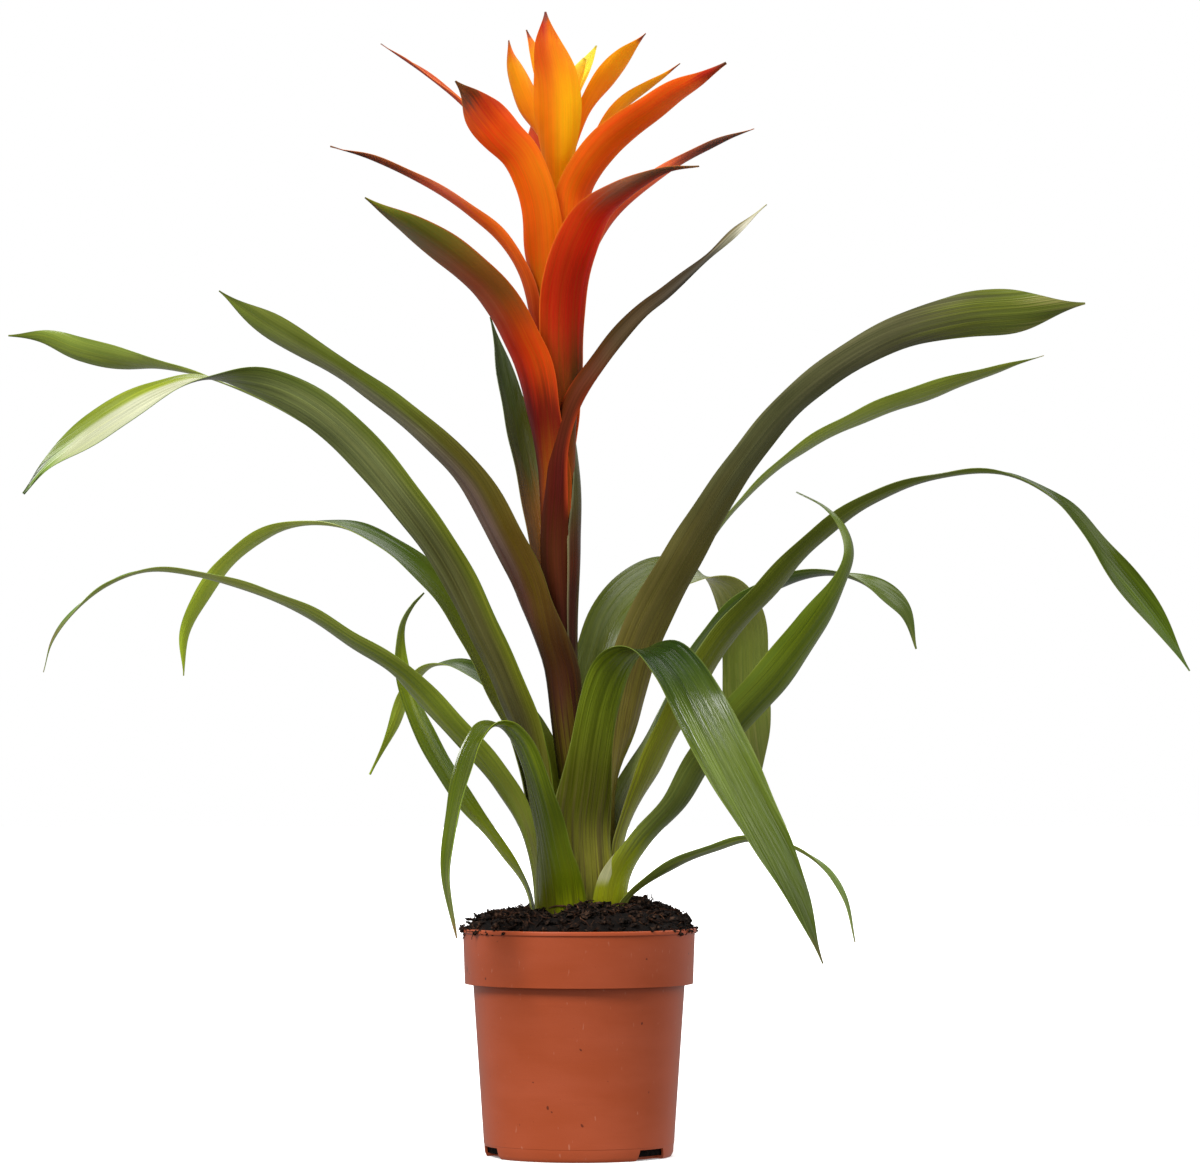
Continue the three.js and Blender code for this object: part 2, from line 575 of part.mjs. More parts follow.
// Take a geometry back from the solid library.
function fromSolid(solid) {
  const mesh = solid.getMesh();
  const geometry = new THREE.BufferGeometry();
  geometry.setAttribute("position", new THREE.BufferAttribute(mesh.vertProperties, 3));
  geometry.setIndex(new THREE.BufferAttribute(mesh.triVerts, 1));
  geometry.computeVertexNormals();
  return geometry;
}

// The radius of the pot's outer face at a height, under its collar.
function bodyRadius(z) {
  const share = z / (POT.height - POT.collarHeight);
  return THREE.MathUtils.lerp(POT.bodyFootRadius, POT.bodyTopRadius, share);
}

// The thin-walled pot, turned from one closed outline and then notched at its foot.
function potGeometry() {
  const collarFoot = POT.height - POT.collarHeight;
  const lipFoot = POT.height - POT.lipHeight;
  const collarTopRadius = POT.rimRadius - POT.lipProud;
  const outline = [
    [0, 0],
    [POT.baseRadius, 0],
    [bodyRadius(POT.baseEdge), POT.baseEdge],
    [POT.bodyTopRadius, collarFoot],
    [POT.collarFootRadius, collarFoot + POT.collarStep],
    [collarTopRadius, lipFoot],
    [POT.rimRadius, lipFoot + POT.lipChamfer],
    [POT.rimRadius, POT.height - POT.lipChamfer],
    [POT.rimRadius - POT.lipChamfer, POT.height],
    [collarTopRadius - POT.wall, POT.height],
    [POT.collarFootRadius - POT.wall, collarFoot + POT.collarStep + POT.wall],
    [POT.bodyTopRadius - POT.wall, collarFoot + POT.collarStep],
    [bodyRadius(POT.floor) - POT.wall, POT.floor],
    [0, POT.floor],
  ].map(([r, z]) => new THREE.Vector2(r, z));
  const turned = new THREE.LatheGeometry(outline, POT.sides);
  turned.rotateX(Math.PI / 2);
  const shape = new THREE.Shape();
  shape.moveTo(-NOTCH.footWidth / 2, -NOTCH.below);
  shape.lineTo(NOTCH.footWidth / 2, -NOTCH.below);
  shape.lineTo(NOTCH.topWidth / 2, NOTCH.height);
  shape.lineTo(-NOTCH.topWidth / 2, NOTCH.height);
  let pot = toSolid(turned);
  for (const direction of NOTCH.directions) {
    const cutter = new THREE.ExtrudeGeometry(shape, { depth: NOTCH.reach, bevelEnabled: false });
    cutter.translate(0, 0, POT.baseRadius - NOTCH.depth);
    cutter.rotateX(Math.PI / 2);
    cutter.rotateZ(degrees(direction) + Math.PI / 2);
    pot = pot.subtract(toSolid(cutter));
  }
  return fromSolid(pot);
}

// The height of the soil's lumpy surface at a place.
function soilHeight(x, y) {
  const radius = Math.hypot(x, y);
  const wall = POT.rimRadius - POT.wall;
  const share = THREE.MathUtils.smoothstep(wall - radius, 0, wall - SOIL.crownRadius);
  const mound = THREE.MathUtils.lerp(SOIL.rimLevel, SOIL.crownLevel, share ** SOIL.roundness);
  const lumps = Math.sin(x / 6.1 + 1.3) * Math.cos(y / 5.3 - 0.4) + Math.sin((x + y) / 9.7 + 2.2);
  const crumbs = Math.sin(x / 2.3 + 0.7) * Math.sin(y / 2.9 + 1.9);
  const calm = THREE.MathUtils.smoothstep(radius, SOIL.wellRadius, SOIL.crownRadius);
  const rough = Math.min(1, share * 3 + 0.15) * calm;
  return mound - SOIL.dish * (1 - calm) + (SOIL.lump * lumps + SOIL.crumb * crumbs) * rough;
}

// The soil: it fills the pot and has a plain round well, in which the plant stands.
function soilGeometry() {
  const collarFoot = POT.height - POT.collarHeight;
  const inside = POT.wall + SOIL.clearance;
  const floor = POT.floor + SOIL.clearance;
  const rings = [
    [bodyRadius(floor) - inside, floor],
    [POT.bodyTopRadius - inside, collarFoot + POT.collarStep + SOIL.clearance],
    [POT.collarFootRadius - inside, collarFoot + POT.collarStep + inside],
    [POT.rimRadius - POT.lipProud - inside, SOIL.rimLevel],
  ];
  const edge = rings[rings.length - 1][0];
  for (const share of SOIL.ringShares) {
    rings.push([THREE.MathUtils.lerp(SOIL.wellRadius, edge, share), null]);
  }
  rings.push([SOIL.wellRadius, SOIL.wellFloor]);
  const positions = [0, 0, floor];
  rings.forEach(([radius, level], ring) => {
    const shift = radius <= edge ? SOIL.wellOffset * (edge - radius) / (edge - SOIL.wellRadius) : 0;
    for (let side = 0; side < POT.sides; side += 1) {
      const turn = (side / POT.sides) * 2 * Math.PI;
      const x = radius * Math.cos(turn);
      const y = radius * Math.sin(turn) + (ring > 3 ? shift : 0);
      positions.push(x, y, level ?? soilHeight(x, y));
    }
  });
  positions.push(0, SOIL.wellOffset, SOIL.wellFloor);
  const last = positions.length / 3 - 1;
  const triangles = gridTriangles(rings.length, POT.sides, 1, true);
  for (let side = 0; side < POT.sides; side += 1) {
    const next = (side + 1) % POT.sides;
    triangles.push([0, 1 + next, 1 + side]);
    triangles.push([last - POT.sides + side, last - POT.sides + next, last]);
  }
  return closedGeometry(positions, triangles);
}

// The stem and flower stalk: one tapered body along the middle of the plant.
function stemGeometry() {
  const positions = [...axisAt(STEM.heights[0]).toArray()];
  for (const z of STEM.heights) {
    const low = THREE.MathUtils.smoothstep(z, STEM.narrowFrom, STEM.narrowTo);
    const high = THREE.MathUtils.smoothstep(z, STEM.narrowTo, STEM.top);
    let radius = THREE.MathUtils.lerp(STEM.rootRadius, STEM.stalkRadius, low);
    radius = THREE.MathUtils.lerp(radius, STEM.topRadius, high);
    const middle = axisAt(z);
    for (let side = 0; side < STEM.sides; side += 1) {
      const turn = (side / STEM.sides) * 2 * Math.PI;
      positions.push(middle.x + radius * Math.cos(turn), middle.y + radius * Math.sin(turn), z);
    }
  }
  positions.push(...axisAt(STEM.top).toArray());
  const last = positions.length / 3 - 1;
  const triangles = gridTriangles(STEM.heights.length, STEM.sides, 1, true);
  for (let side = 0; side < STEM.sides; side += 1) {
    const next = (side + 1) % STEM.sides;
    triangles.push([0, 1 + next, 1 + side]);
    triangles.push([last - STEM.sides + side, last - STEM.sides + next, last]);
  }
  return closedGeometry(positions, triangles);
}

// Put a geometry into the plant as a named mesh with its own material.
function addPiece(group, name, geometry, colour) {
  const material = new THREE.MeshStandardMaterial({ ...COLOURS[colour], metalness: 0 });
  material.side = THREE.FrontSide;
  const mesh = new THREE.Mesh(geometry, material);
  mesh.name = name;
  group.add(mesh);
}

const plant = new THREE.Group();
plant.name = "potted_guzmania";
addPiece(plant, "pot", potGeometry(), "pot");
addPiece(plant, "soil", soilGeometry(), "soil");
addPiece(plant, "flower_stalk", stemGeometry(), "stalk");
for (const leaf of ROSETTE) {
  const rings = Math.min(BLADE.mostRings, 6 + leaf.path.length);
  const strips = leaf.foot.wrap > BLADE.wideWrap ? 6 : 4;
  const geometry = bladeGeometry(leaf, BLADE.rosetteSlope, BLADE.leafThickness, strips, rings);
  addPiece(plant, leaf.name, geometry, leaf.colour);
}
for (const blade of STALK_BLADES) {
  const thickness = BLADE[blade.thick ?? "bractThickness"];
  const slope = blade.foot.z < BLADE.headFoot ? BLADE.stalkSlope : BLADE.headSlope;
  const rings = 5 + blade.path.length;
  const strips = blade.foot.wrap > BLADE.fullWrap ? 8 : 6;
  const geometry = bladeGeometry(blade, slope, thickness, strips, rings);
  addPiece(plant, blade.name, geometry, blade.colour);
}

export default plant;
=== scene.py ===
"""Looks of a potted guzmania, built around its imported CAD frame.

Lengths are in metres unless a name or a docstring says millimetres. +Z is up, the viewer
stands at -Y and +X is on the viewer's right.
"""

import json
import logging
import math
import random
from dataclasses import dataclass
from enum import Enum
from typing import ClassVar

import bpy
import numpy as np
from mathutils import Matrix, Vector, noise


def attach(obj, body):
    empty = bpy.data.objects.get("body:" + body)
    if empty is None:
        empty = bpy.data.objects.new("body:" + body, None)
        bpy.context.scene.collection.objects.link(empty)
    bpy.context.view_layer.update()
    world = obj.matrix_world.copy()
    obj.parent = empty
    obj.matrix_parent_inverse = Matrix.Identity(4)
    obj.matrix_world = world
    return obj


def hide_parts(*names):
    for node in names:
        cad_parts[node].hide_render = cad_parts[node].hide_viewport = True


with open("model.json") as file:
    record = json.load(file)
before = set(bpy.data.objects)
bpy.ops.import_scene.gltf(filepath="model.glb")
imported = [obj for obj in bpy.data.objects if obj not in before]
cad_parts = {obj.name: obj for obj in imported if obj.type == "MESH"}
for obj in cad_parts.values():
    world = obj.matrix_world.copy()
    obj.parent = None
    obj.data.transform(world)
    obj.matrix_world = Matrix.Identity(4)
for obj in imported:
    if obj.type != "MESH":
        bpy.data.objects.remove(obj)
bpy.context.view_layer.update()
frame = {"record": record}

log = logging.getLogger("guzmania")

MM = 0.001
FULL_TURN = 2 * math.pi
BODY = "root"
CROWN = 106.4  # The height in mm at which the stem and the rosette leaves start.
FLOAT = "NodeSocketFloat"
Point = tuple[float, float, float]
Spot = tuple[float, float, float, float]
Colour = tuple[float, float, float, float]
Outline = tuple[tuple[float, float], ...]
Specks = tuple[float, float, float, float, float]
Fractal = tuple[float, float, float, float, int]
WHITE: Colour = (1.0, 1.0, 1.0, 1.0)
MERGE_GAP = 1e-6
SCREEN_KNEE, SCREEN_SLOPE, SCREEN_OFFSET, SCREEN_POWER = 0.04045, 12.92, 0.055, 2.4


def linear(code: str) -> Colour:
    """Turn a hex colour as seen on a screen into linear light.

    Args:
        code: A colour such as "#4b5717".

    Returns:
        Red, green, blue and a full alpha.
    """
    parts = (int(code[i : i + 2], 16) / 255 for i in (1, 3, 5))
    red, green, blue = (
        p / SCREEN_SLOPE if p <= SCREEN_KNEE
        else ((p + SCREEN_OFFSET) / (1 + SCREEN_OFFSET)) ** SCREEN_POWER
        for p in parts
    )
    return (red, green, blue, 1.0)


def deselect() -> None:
    """Leave nothing selected, the CAD nodes included."""
    if bpy.context.object and bpy.context.object.mode != "OBJECT":
        bpy.ops.object.mode_set(mode="OBJECT")
    bpy.ops.object.select_all(action="DESELECT")


def hold(piece: bpy.types.Object) -> None:
    """Make a piece the only selected and the active one.

    Args:
        piece: The piece to hold.
    """
    deselect()
    piece.select_set(True)
    bpy.context.view_layer.objects.active = piece


def join(pieces: list[bpy.types.Object]) -> bpy.types.Object:
    """Join pieces into the first of them.

    Args:
        pieces: The mesh objects to join.

    Returns:
        The joined mesh object.
    """
    deselect()
    for piece in pieces:
        piece.select_set(True)
    bpy.context.view_layer.objects.active = pieces[0]
    bpy.ops.object.join()
    return bpy.context.object


def apply_all(piece: bpy.types.Object) -> None:
    """Apply every modifier of a piece, in order.

    Args:
        piece: The piece that has the modifiers.
    """
    hold(piece)
    for modifier in list(piece.modifiers):
        bpy.ops.object.modifier_apply(modifier=modifier.name)


def shade_smooth(piece: bpy.types.Object, angle: float) -> None:
    """Shade a piece smooth up to an angle in degrees."""
    hold(piece)
    bpy.ops.object.shade_smooth_by_angle(angle=math.radians(angle))


def settle(piece: bpy.types.Object, name: str, slot: str, *nodes: str) -> None:
    """Name a finished piece, hang it under the body and hide the CAD nodes that it stands for.

    Args:
        piece: The finished mesh object.
        name: Its name in the scene.
        slot: The record's material slot of the piece. Not used.
        *nodes: The CAD nodes that it stands for.
    """
    hold(piece)
    bpy.ops.object.transform_apply(location=True, rotation=True, scale=True)
    piece.name = name
    piece.data.name = name
    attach(piece, BODY)
    if nodes:
        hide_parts(*nodes)
    log.info("%s: %d faces", name, len(piece.data.polygons))


def smoothstep(value: np.ndarray | float, start: float, end: float) -> np.ndarray | float:
    """Rise smoothly from 0 at start to 1 at end."""
    share = np.clip((value - start) / (end - start), 0.0, 1.0)
    return share * share * (3 - 2 * share)


class Wiring:
    """Adds nodes to one node tree and links them."""

    def __init__(self, tree: bpy.types.NodeTree) -> None:
        """Keep the tree that the nodes go into."""
        self.tree = tree

    def feed(self, node: bpy.types.Node, inputs: dict) -> None:
        """Feed a node's sockets.

        Args:
            node: The node.
            inputs: What goes into its sockets: an output to link, or a constant.
        """
        for key, value in inputs.items():
            if isinstance(value, bpy.types.NodeSocket):
                self.tree.links.new(value, node.inputs[key])
            else:
                node.inputs[key].default_value = value

    def add(self, kind: str, inputs: dict | None = None, **settings: object) -> bpy.types.Node:
        """Add a node, set it and feed it.

        Args:
            kind: The node's type.
            inputs: What goes into its sockets.
            **settings: Attributes of the node itself.

        Returns:
            The new node.
        """
        node = self.tree.nodes.new(kind)
        for key, value in settings.items():
            setattr(node, key, value)
        self.feed(node, inputs or {})
        return node

    def math(self, work: str, *values: object, clamp: bool = False) -> bpy.types.NodeSocket:
        """Do a sum on one to three values and give its result."""
        inputs = dict(enumerate(values))
        return self.add("ShaderNodeMath", inputs, operation=work, use_clamp=clamp).outputs[0]

    def times(self, *values: object) -> bpy.types.NodeSocket:
        """Multiply two values or more.

        Args:
            *values: The values.

        Returns:
            Their product.
        """
        product = values[0]
        for value in values[1:]:
            product = self.math("MULTIPLY", product, value)
        return product

    def vary(self, pattern: object, share: float) -> bpy.types.NodeSocket:
        """Turn a pattern into a factor that swings round 1, by a share in all."""
        return self.math("MULTIPLY_ADD", pattern, share, 1 - share / 2)

    def span(self, value: object, low: float, high: float, to_low: float = 0.0,
             to_high: float = 1.0) -> bpy.types.NodeSocket:
        """Map a value smoothly from one range to another, held at its ends."""
        inputs = {0: value, 1: low, 2: high, 3: to_low, 4: to_high}
        return self.add("ShaderNodeMapRange", inputs, interpolation_type="SMOOTHSTEP").outputs[0]

    def mix(self, share: object, first: object, second: object) -> bpy.types.NodeSocket:
        """Mix two colours and give the result."""
        inputs = {0: share, 6: first, 7: second}
        return self.add("ShaderNodeMix", inputs, data_type="RGBA").outputs[2]

    def ramp(self, place: object, stops: str) -> bpy.types.NodeSocket:
        """Read a colour along a list of stops.

        Args:
            place: Where to read, from 0 to 1.
            stops: Places in percent with their hex colours, such as "0:a3ac62 100:76893e".

        Returns:
            The colour.
        """
        node = self.add("ShaderNodeValToRGB", {0: place})
        elements = node.color_ramp.elements
        while len(elements) > 1:
            elements.remove(elements[-1])
        for index, stop in enumerate(stops.split()):
            percent, code = stop.split(":")
            where = float(percent) / 100
            element = elements[0] if index == 0 else elements.new(where)
            element.position = where
            element.color = linear("#" + code)
        node.color_ramp.interpolation = "EASE"
        return node.outputs[0]

    def attribute(self, name: str) -> bpy.types.NodeSocket:
        """Read one of the mesh's own vector attributes."""
        return self.add("ShaderNodeAttribute", attribute_name=name).outputs["Vector"]

    def place(self) -> bpy.types.NodeSocket:
        """Read the place on the object, in metres."""
        return self.add("ShaderNodeTexCoord").outputs["Object"]

    def split(self, vector: bpy.types.NodeSocket) -> list[bpy.types.NodeSocket]:
        """Take a vector apart."""
        return list(self.add("ShaderNodeSeparateXYZ", {0: vector}).outputs)

    def noise(self, vector: object, scale: float, detail: float = 2.0,
              rough: float = 0.5) -> bpy.types.NodeSocket:
        """Smooth random values from 0 to 1."""
        inputs = {"Vector": vector, "Scale": scale, "Detail": detail, "Roughness": rough}
        return self.add("ShaderNodeTexNoise", inputs).outputs[0]

    def specks(self, vector: object, kind: Specks) -> bpy.types.NodeSocket:
        """Draw spots: noise of a scale and detail, cut from low to high, at a share."""
        scale, detail, low, high, share = kind
        return self.span(self.noise(vector, scale, detail), low, high, 0.0, share)

    def stretched(self, vector: object, scale: Point) -> bpy.types.NodeSocket:
        """Stretch a vector by a scale on each axis."""
        inputs = {0: vector, 1: scale}
        return self.add("ShaderNodeVectorMath", inputs, operation="MULTIPLY").outputs[0]

    def bump(self, height: object, strength: float, distance: float) -> bpy.types.NodeSocket:
        """Turn a height into a normal."""
        inputs = {"Height": height, "Strength": strength, "Distance": distance}
        return self.add("ShaderNodeBump", inputs).outputs[0]


def new_group(name: str, inputs: tuple[str, ...], outputs: tuple[str, ...]) -> Wiring:
    """Start a node group.

    Args:
        name: The group's name.
        inputs: The names of the values that it takes.
        outputs: The names of the values that it gives.

    Returns:
        The wiring of the new group.
    """
    tree = bpy.data.node_groups.new(name, "ShaderNodeTree")
    for way, names in (("INPUT", inputs), ("OUTPUT", outputs)):
        for key in names:
            tree.interface.new_socket(key, in_out=way, socket_type=FLOAT)
    return Wiring(tree)


def new_material(name: str) -> tuple[bpy.types.Material, Wiring, bpy.types.Node]:
    """Start a material.

    Args:
        name: The material's name.

    Returns:
        The material, its wiring and its Principled BSDF.
    """
    material = bpy.data.materials.new(name)
    material.use_nodes = True
    surface = next(n for n in material.node_tree.nodes if n.type == "BSDF_PRINCIPLED")
    return material, Wiring(material.node_tree), surface


@dataclass(frozen=True)
class BladeGrain:
    """The patterns that all blades share, each with its scale and its detail.

    A scale is given across the blade, along it and from blade to blade.
    """

    veins: tuple[Point, float] = ((2300.0, 16.0, 1.0), 1.0)
    bands: tuple[Point, float] = ((260.0, 7.0, 1.7), 1.0)
    clouds: tuple[Point, float] = ((45.0, 26.0, 2.3), 3.0)
    streaks: tuple[Point, float] = ((1050.0, 11.0, 3.1), 2.0)
    roughness: float = 0.6
    low: float = 0.27
    high: float = 0.73

    def pattern_group(self) -> bpy.types.NodeTree:
        """Make the group that draws the patterns.

        Returns:
            A group that gives veins, bands, clouds and streaks, each from 0 to 1.
        """
        patterns = {
            "Veins": self.veins, "Bands": self.bands, "Clouds": self.clouds,
            "Streaks": self.streaks,
        }
        wiring = new_group("blade_grain", (), tuple(patterns))
        place = wiring.attribute("place")
        results = {}
        for name, (scale, detail) in patterns.items():
            soft = wiring.noise(wiring.stretched(place, scale), 1.0, detail, self.roughness)
            results[name] = wiring.span(soft, self.low, self.high)
        wiring.add("NodeGroupOutput", results)
        return wiring.tree

    @staticmethod
    def margin_group() -> bpy.types.NodeTree:
        """Make the group that finds a blade's margins.

        Returns:
            A group that takes the share across and the margin's width, and gives 1 at the edges.
        """
        wiring = new_group("blade_margin", ("Across", "Margin"), ("Edge",))
        entry = wiring.add("NodeGroupInput").outputs
        off = wiring.math("ABSOLUTE", wiring.math("MULTIPLY_ADD", entry["Across"], 2.0, -1.0))
        inner = wiring.math("SUBTRACT", 1.0, entry["Margin"])
        over = wiring.math("SUBTRACT", off, inner)
        edge = wiring.math("DIVIDE", over, entry["Margin"], clamp=True)
        wiring.add("NodeGroupOutput", {"Edge": edge})
        return wiring.tree


@dataclass(frozen=True)
class Shade:
    """Colours of one side of a blade from foot to tip, on its left and right half."""

    left: str
    right: str | None = None
    turn: tuple[float, float] = (0.3, 0.7)

    def paint(self, wiring: Wiring, across: object, along: object) -> bpy.types.NodeSocket:
        """Colour this side of the blade.

        Args:
            wiring: The material's wiring.
            across: The share across the blade.
            along: The share along the blade.

        Returns:
            The colour.
        """
        left = wiring.ramp(along, self.left)
        if self.right is None:
            return left
        return wiring.mix(wiring.span(across, *self.turn), left, wiring.ramp(along, self.right))


@dataclass(frozen=True)
class Skin:
    """The finish of a blade's two sides. Reaches, starts and ends are shares of its length."""

    upper: Shade
    under: Shade
    margin: str = "#8d9a4c"
    margin_width: float = 0.06
    margin_share: float = 0.18
    margin_start: float = 0.0
    margin_end: float = 2.0
    streak: str = "#4a3a24"
    streak_reach: float = 0.0
    streak_share: float = 0.7
    vein_share: float = 0.16
    line_share: float = 0.26
    band_share: float = 0.13
    hue_drift: float = 0.018
    drift: float = 0.06
    fold_pale: str = "#d5d3a0"
    fold_start: float = 0.0
    fold_end: float = 0.0
    relief: float = 0.00035
    roughness: float = 0.24
    sheen_share: float = 0.1
    gloss: float = 0.45
    glow: float = 0.0
    glow_radius: Point = (0.004, 0.002, 0.0006)

    BAND_DRIFT: ClassVar[float] = 0.8
    DRIFT_BACK: ClassVar[float] = -0.9
    STREAK_FULL: ClassVar[float] = 0.25
    STREAK_DRAWN: ClassVar[tuple[float, float]] = (0.25, 0.85)
    MARGIN_FADE: ClassVar[float] = 0.7
    MARGIN_RISE: ClassVar[float] = 0.8
    FOLD_RISE: ClassVar[float] = 0.02
    FOLD_INNER: ClassVar[float] = 0.74
    FOLD_SHARE: ClassVar[float] = 0.85
    CLOUD_SHARE: ClassVar[float] = 0.16
    CLOUD_ROUGHNESS: ClassVar[float] = 0.1
    RELIEF_SHARES: ClassVar[Point] = (0.63, 0.25, 0.12)

    def trim(self, wiring: Wiring, colour: object, across: object,
             along: object, margin: bpy.types.NodeTree) -> bpy.types.NodeSocket:
        """Lay the margins and a pale fold over the blade's colour.

        Args:
            wiring: The material's wiring.
            colour: The blade's colour.
            across: The share across the blade.
            along: The share along the blade.
            margin: The node group that finds the margins.

        Returns:
            The colour with its margins.
        """
        inputs = {"Across": across, "Margin": self.margin_width}
        edge = wiring.add("ShaderNodeGroup", inputs, node_tree=margin).outputs["Edge"]
        near = wiring.span(along, self.margin_end * self.MARGIN_FADE, self.margin_end,
                           self.margin_share, 0.0)
        if self.margin_start > 0:
            begun = wiring.span(along, self.margin_start * self.MARGIN_RISE, self.margin_start)
            near = wiring.times(near, begun)
        colour = wiring.mix(wiring.times(edge, near), colour, linear(self.margin))
        if self.fold_end > 0:
            full = self.fold_start + self.FOLD_RISE
            begun = wiring.span(along, self.fold_start, full, 0.0, self.FOLD_SHARE)
            inner = wiring.span(along, full, self.fold_end, self.FOLD_INNER, 1.0)
            fold = wiring.times(wiring.math("GREATER_THAN", across, inner),
                                wiring.math("LESS_THAN", along, self.fold_end), begun)
            colour = wiring.mix(fold, colour, linear(self.fold_pale))
        return colour

    def dress(self, name: str, grain: bpy.types.NodeTree,
              margin: bpy.types.NodeTree) -> bpy.types.Material:
        """Make the material.

        Args:
            name: The material's name.
            grain: The node group that draws the blades' patterns.
            margin: The node group that finds the margins.

        Returns:
            The new material.
        """
        material, wiring, surface = new_material(name)
        across, along, under = wiring.split(wiring.attribute("share"))
        drawn = wiring.add("ShaderNodeGroup", node_tree=grain).outputs
        veins, bands, clouds, streaks = (drawn[k] for k in ("Veins", "Bands", "Clouds", "Streaks"))
        shift = wiring.math("MULTIPLY_ADD", bands, self.drift * self.BAND_DRIFT,
                            self.drift * self.DRIFT_BACK)
        shift = wiring.math("MULTIPLY_ADD", streaks, self.drift, shift)
        there = wiring.math("ADD", along, shift)
        colour = wiring.mix(under, self.upper.paint(wiring, across, there),
                            self.under.paint(wiring, across, there))
        if self.streak_reach > 0:
            low = wiring.span(along, self.streak_reach * self.STREAK_FULL, self.streak_reach,
                              self.streak_share, 0.0)
            mask = wiring.times(low, wiring.span(streaks, *self.STREAK_DRAWN))
            colour = wiring.mix(mask, colour, linear(self.streak))
        colour = self.trim(wiring, colour, across, along, margin)
        value = wiring.times(wiring.vary(veins, self.vein_share),
                             wiring.vary(streaks, self.line_share),
                             wiring.vary(clouds, self.CLOUD_SHARE),
                             wiring.vary(bands, self.band_share))
        hue = wiring.math("MULTIPLY_ADD", streaks, -self.hue_drift, 0.5 + self.hue_drift / 2)
        tinted = wiring.add("ShaderNodeHueSaturation",
                            {"Hue": hue, "Value": value, "Color": colour})
        rough = wiring.math("MULTIPLY_ADD", clouds, self.CLOUD_ROUGHNESS,
                            self.roughness - self.CLOUD_ROUGHNESS / 2)
        rough = wiring.math("MULTIPLY_ADD", bands, self.sheen_share, rough)
        band_high, line_high, vein_high = self.RELIEF_SHARES
        height = wiring.times(veins, vein_high)
        height = wiring.math("MULTIPLY_ADD", streaks, line_high, height)
        height = wiring.math("MULTIPLY_ADD", bands, band_high, height)
        wiring.feed(surface, {
            "Base Color": tinted.outputs[0], "Roughness": rough,
            "Specular IOR Level": self.gloss, "Subsurface Weight": self.glow,
            "Subsurface Radius": self.glow_radius, "Subsurface Scale": 1.0,
            "Normal": wiring.bump(height, 1.0, self.relief),
        })
        return material


@dataclass(frozen=True)
class Petal(Skin):
    """The finish of a bract: satin, with softer lines and light that spreads inside."""

    margin_width: float = 0.08
    drift: float = 0.025
    vein_share: float = 0.1
    line_share: float = 0.12
    band_share: float = 0.14
    hue_drift: float = 0.008
    relief: float = 0.00018
    roughness: float = 0.4
    gloss: float = 0.1
    glow: float = 0.3


FRESH_UPPER = Shade("0:a9b262 8:7f9038 20:728121 50:5a6d22 85:5f7228 98.5:6e7c37 100:7a5a34")
HOOKED_UNDER = Shade("0:a3ac62 10:80882b 30:687a2f 70:465c08 100:93a24c")
FINE_UPPER = Shade("0:9aa35a 10:5e6d33 30:4a5f26 60:4a6424 90:5b7a2c 100:6b5a34")
LEMON_SIDE = Shade("0:f2b01c 60:fbcc39 95:d8c03c 100:8a8a3a")


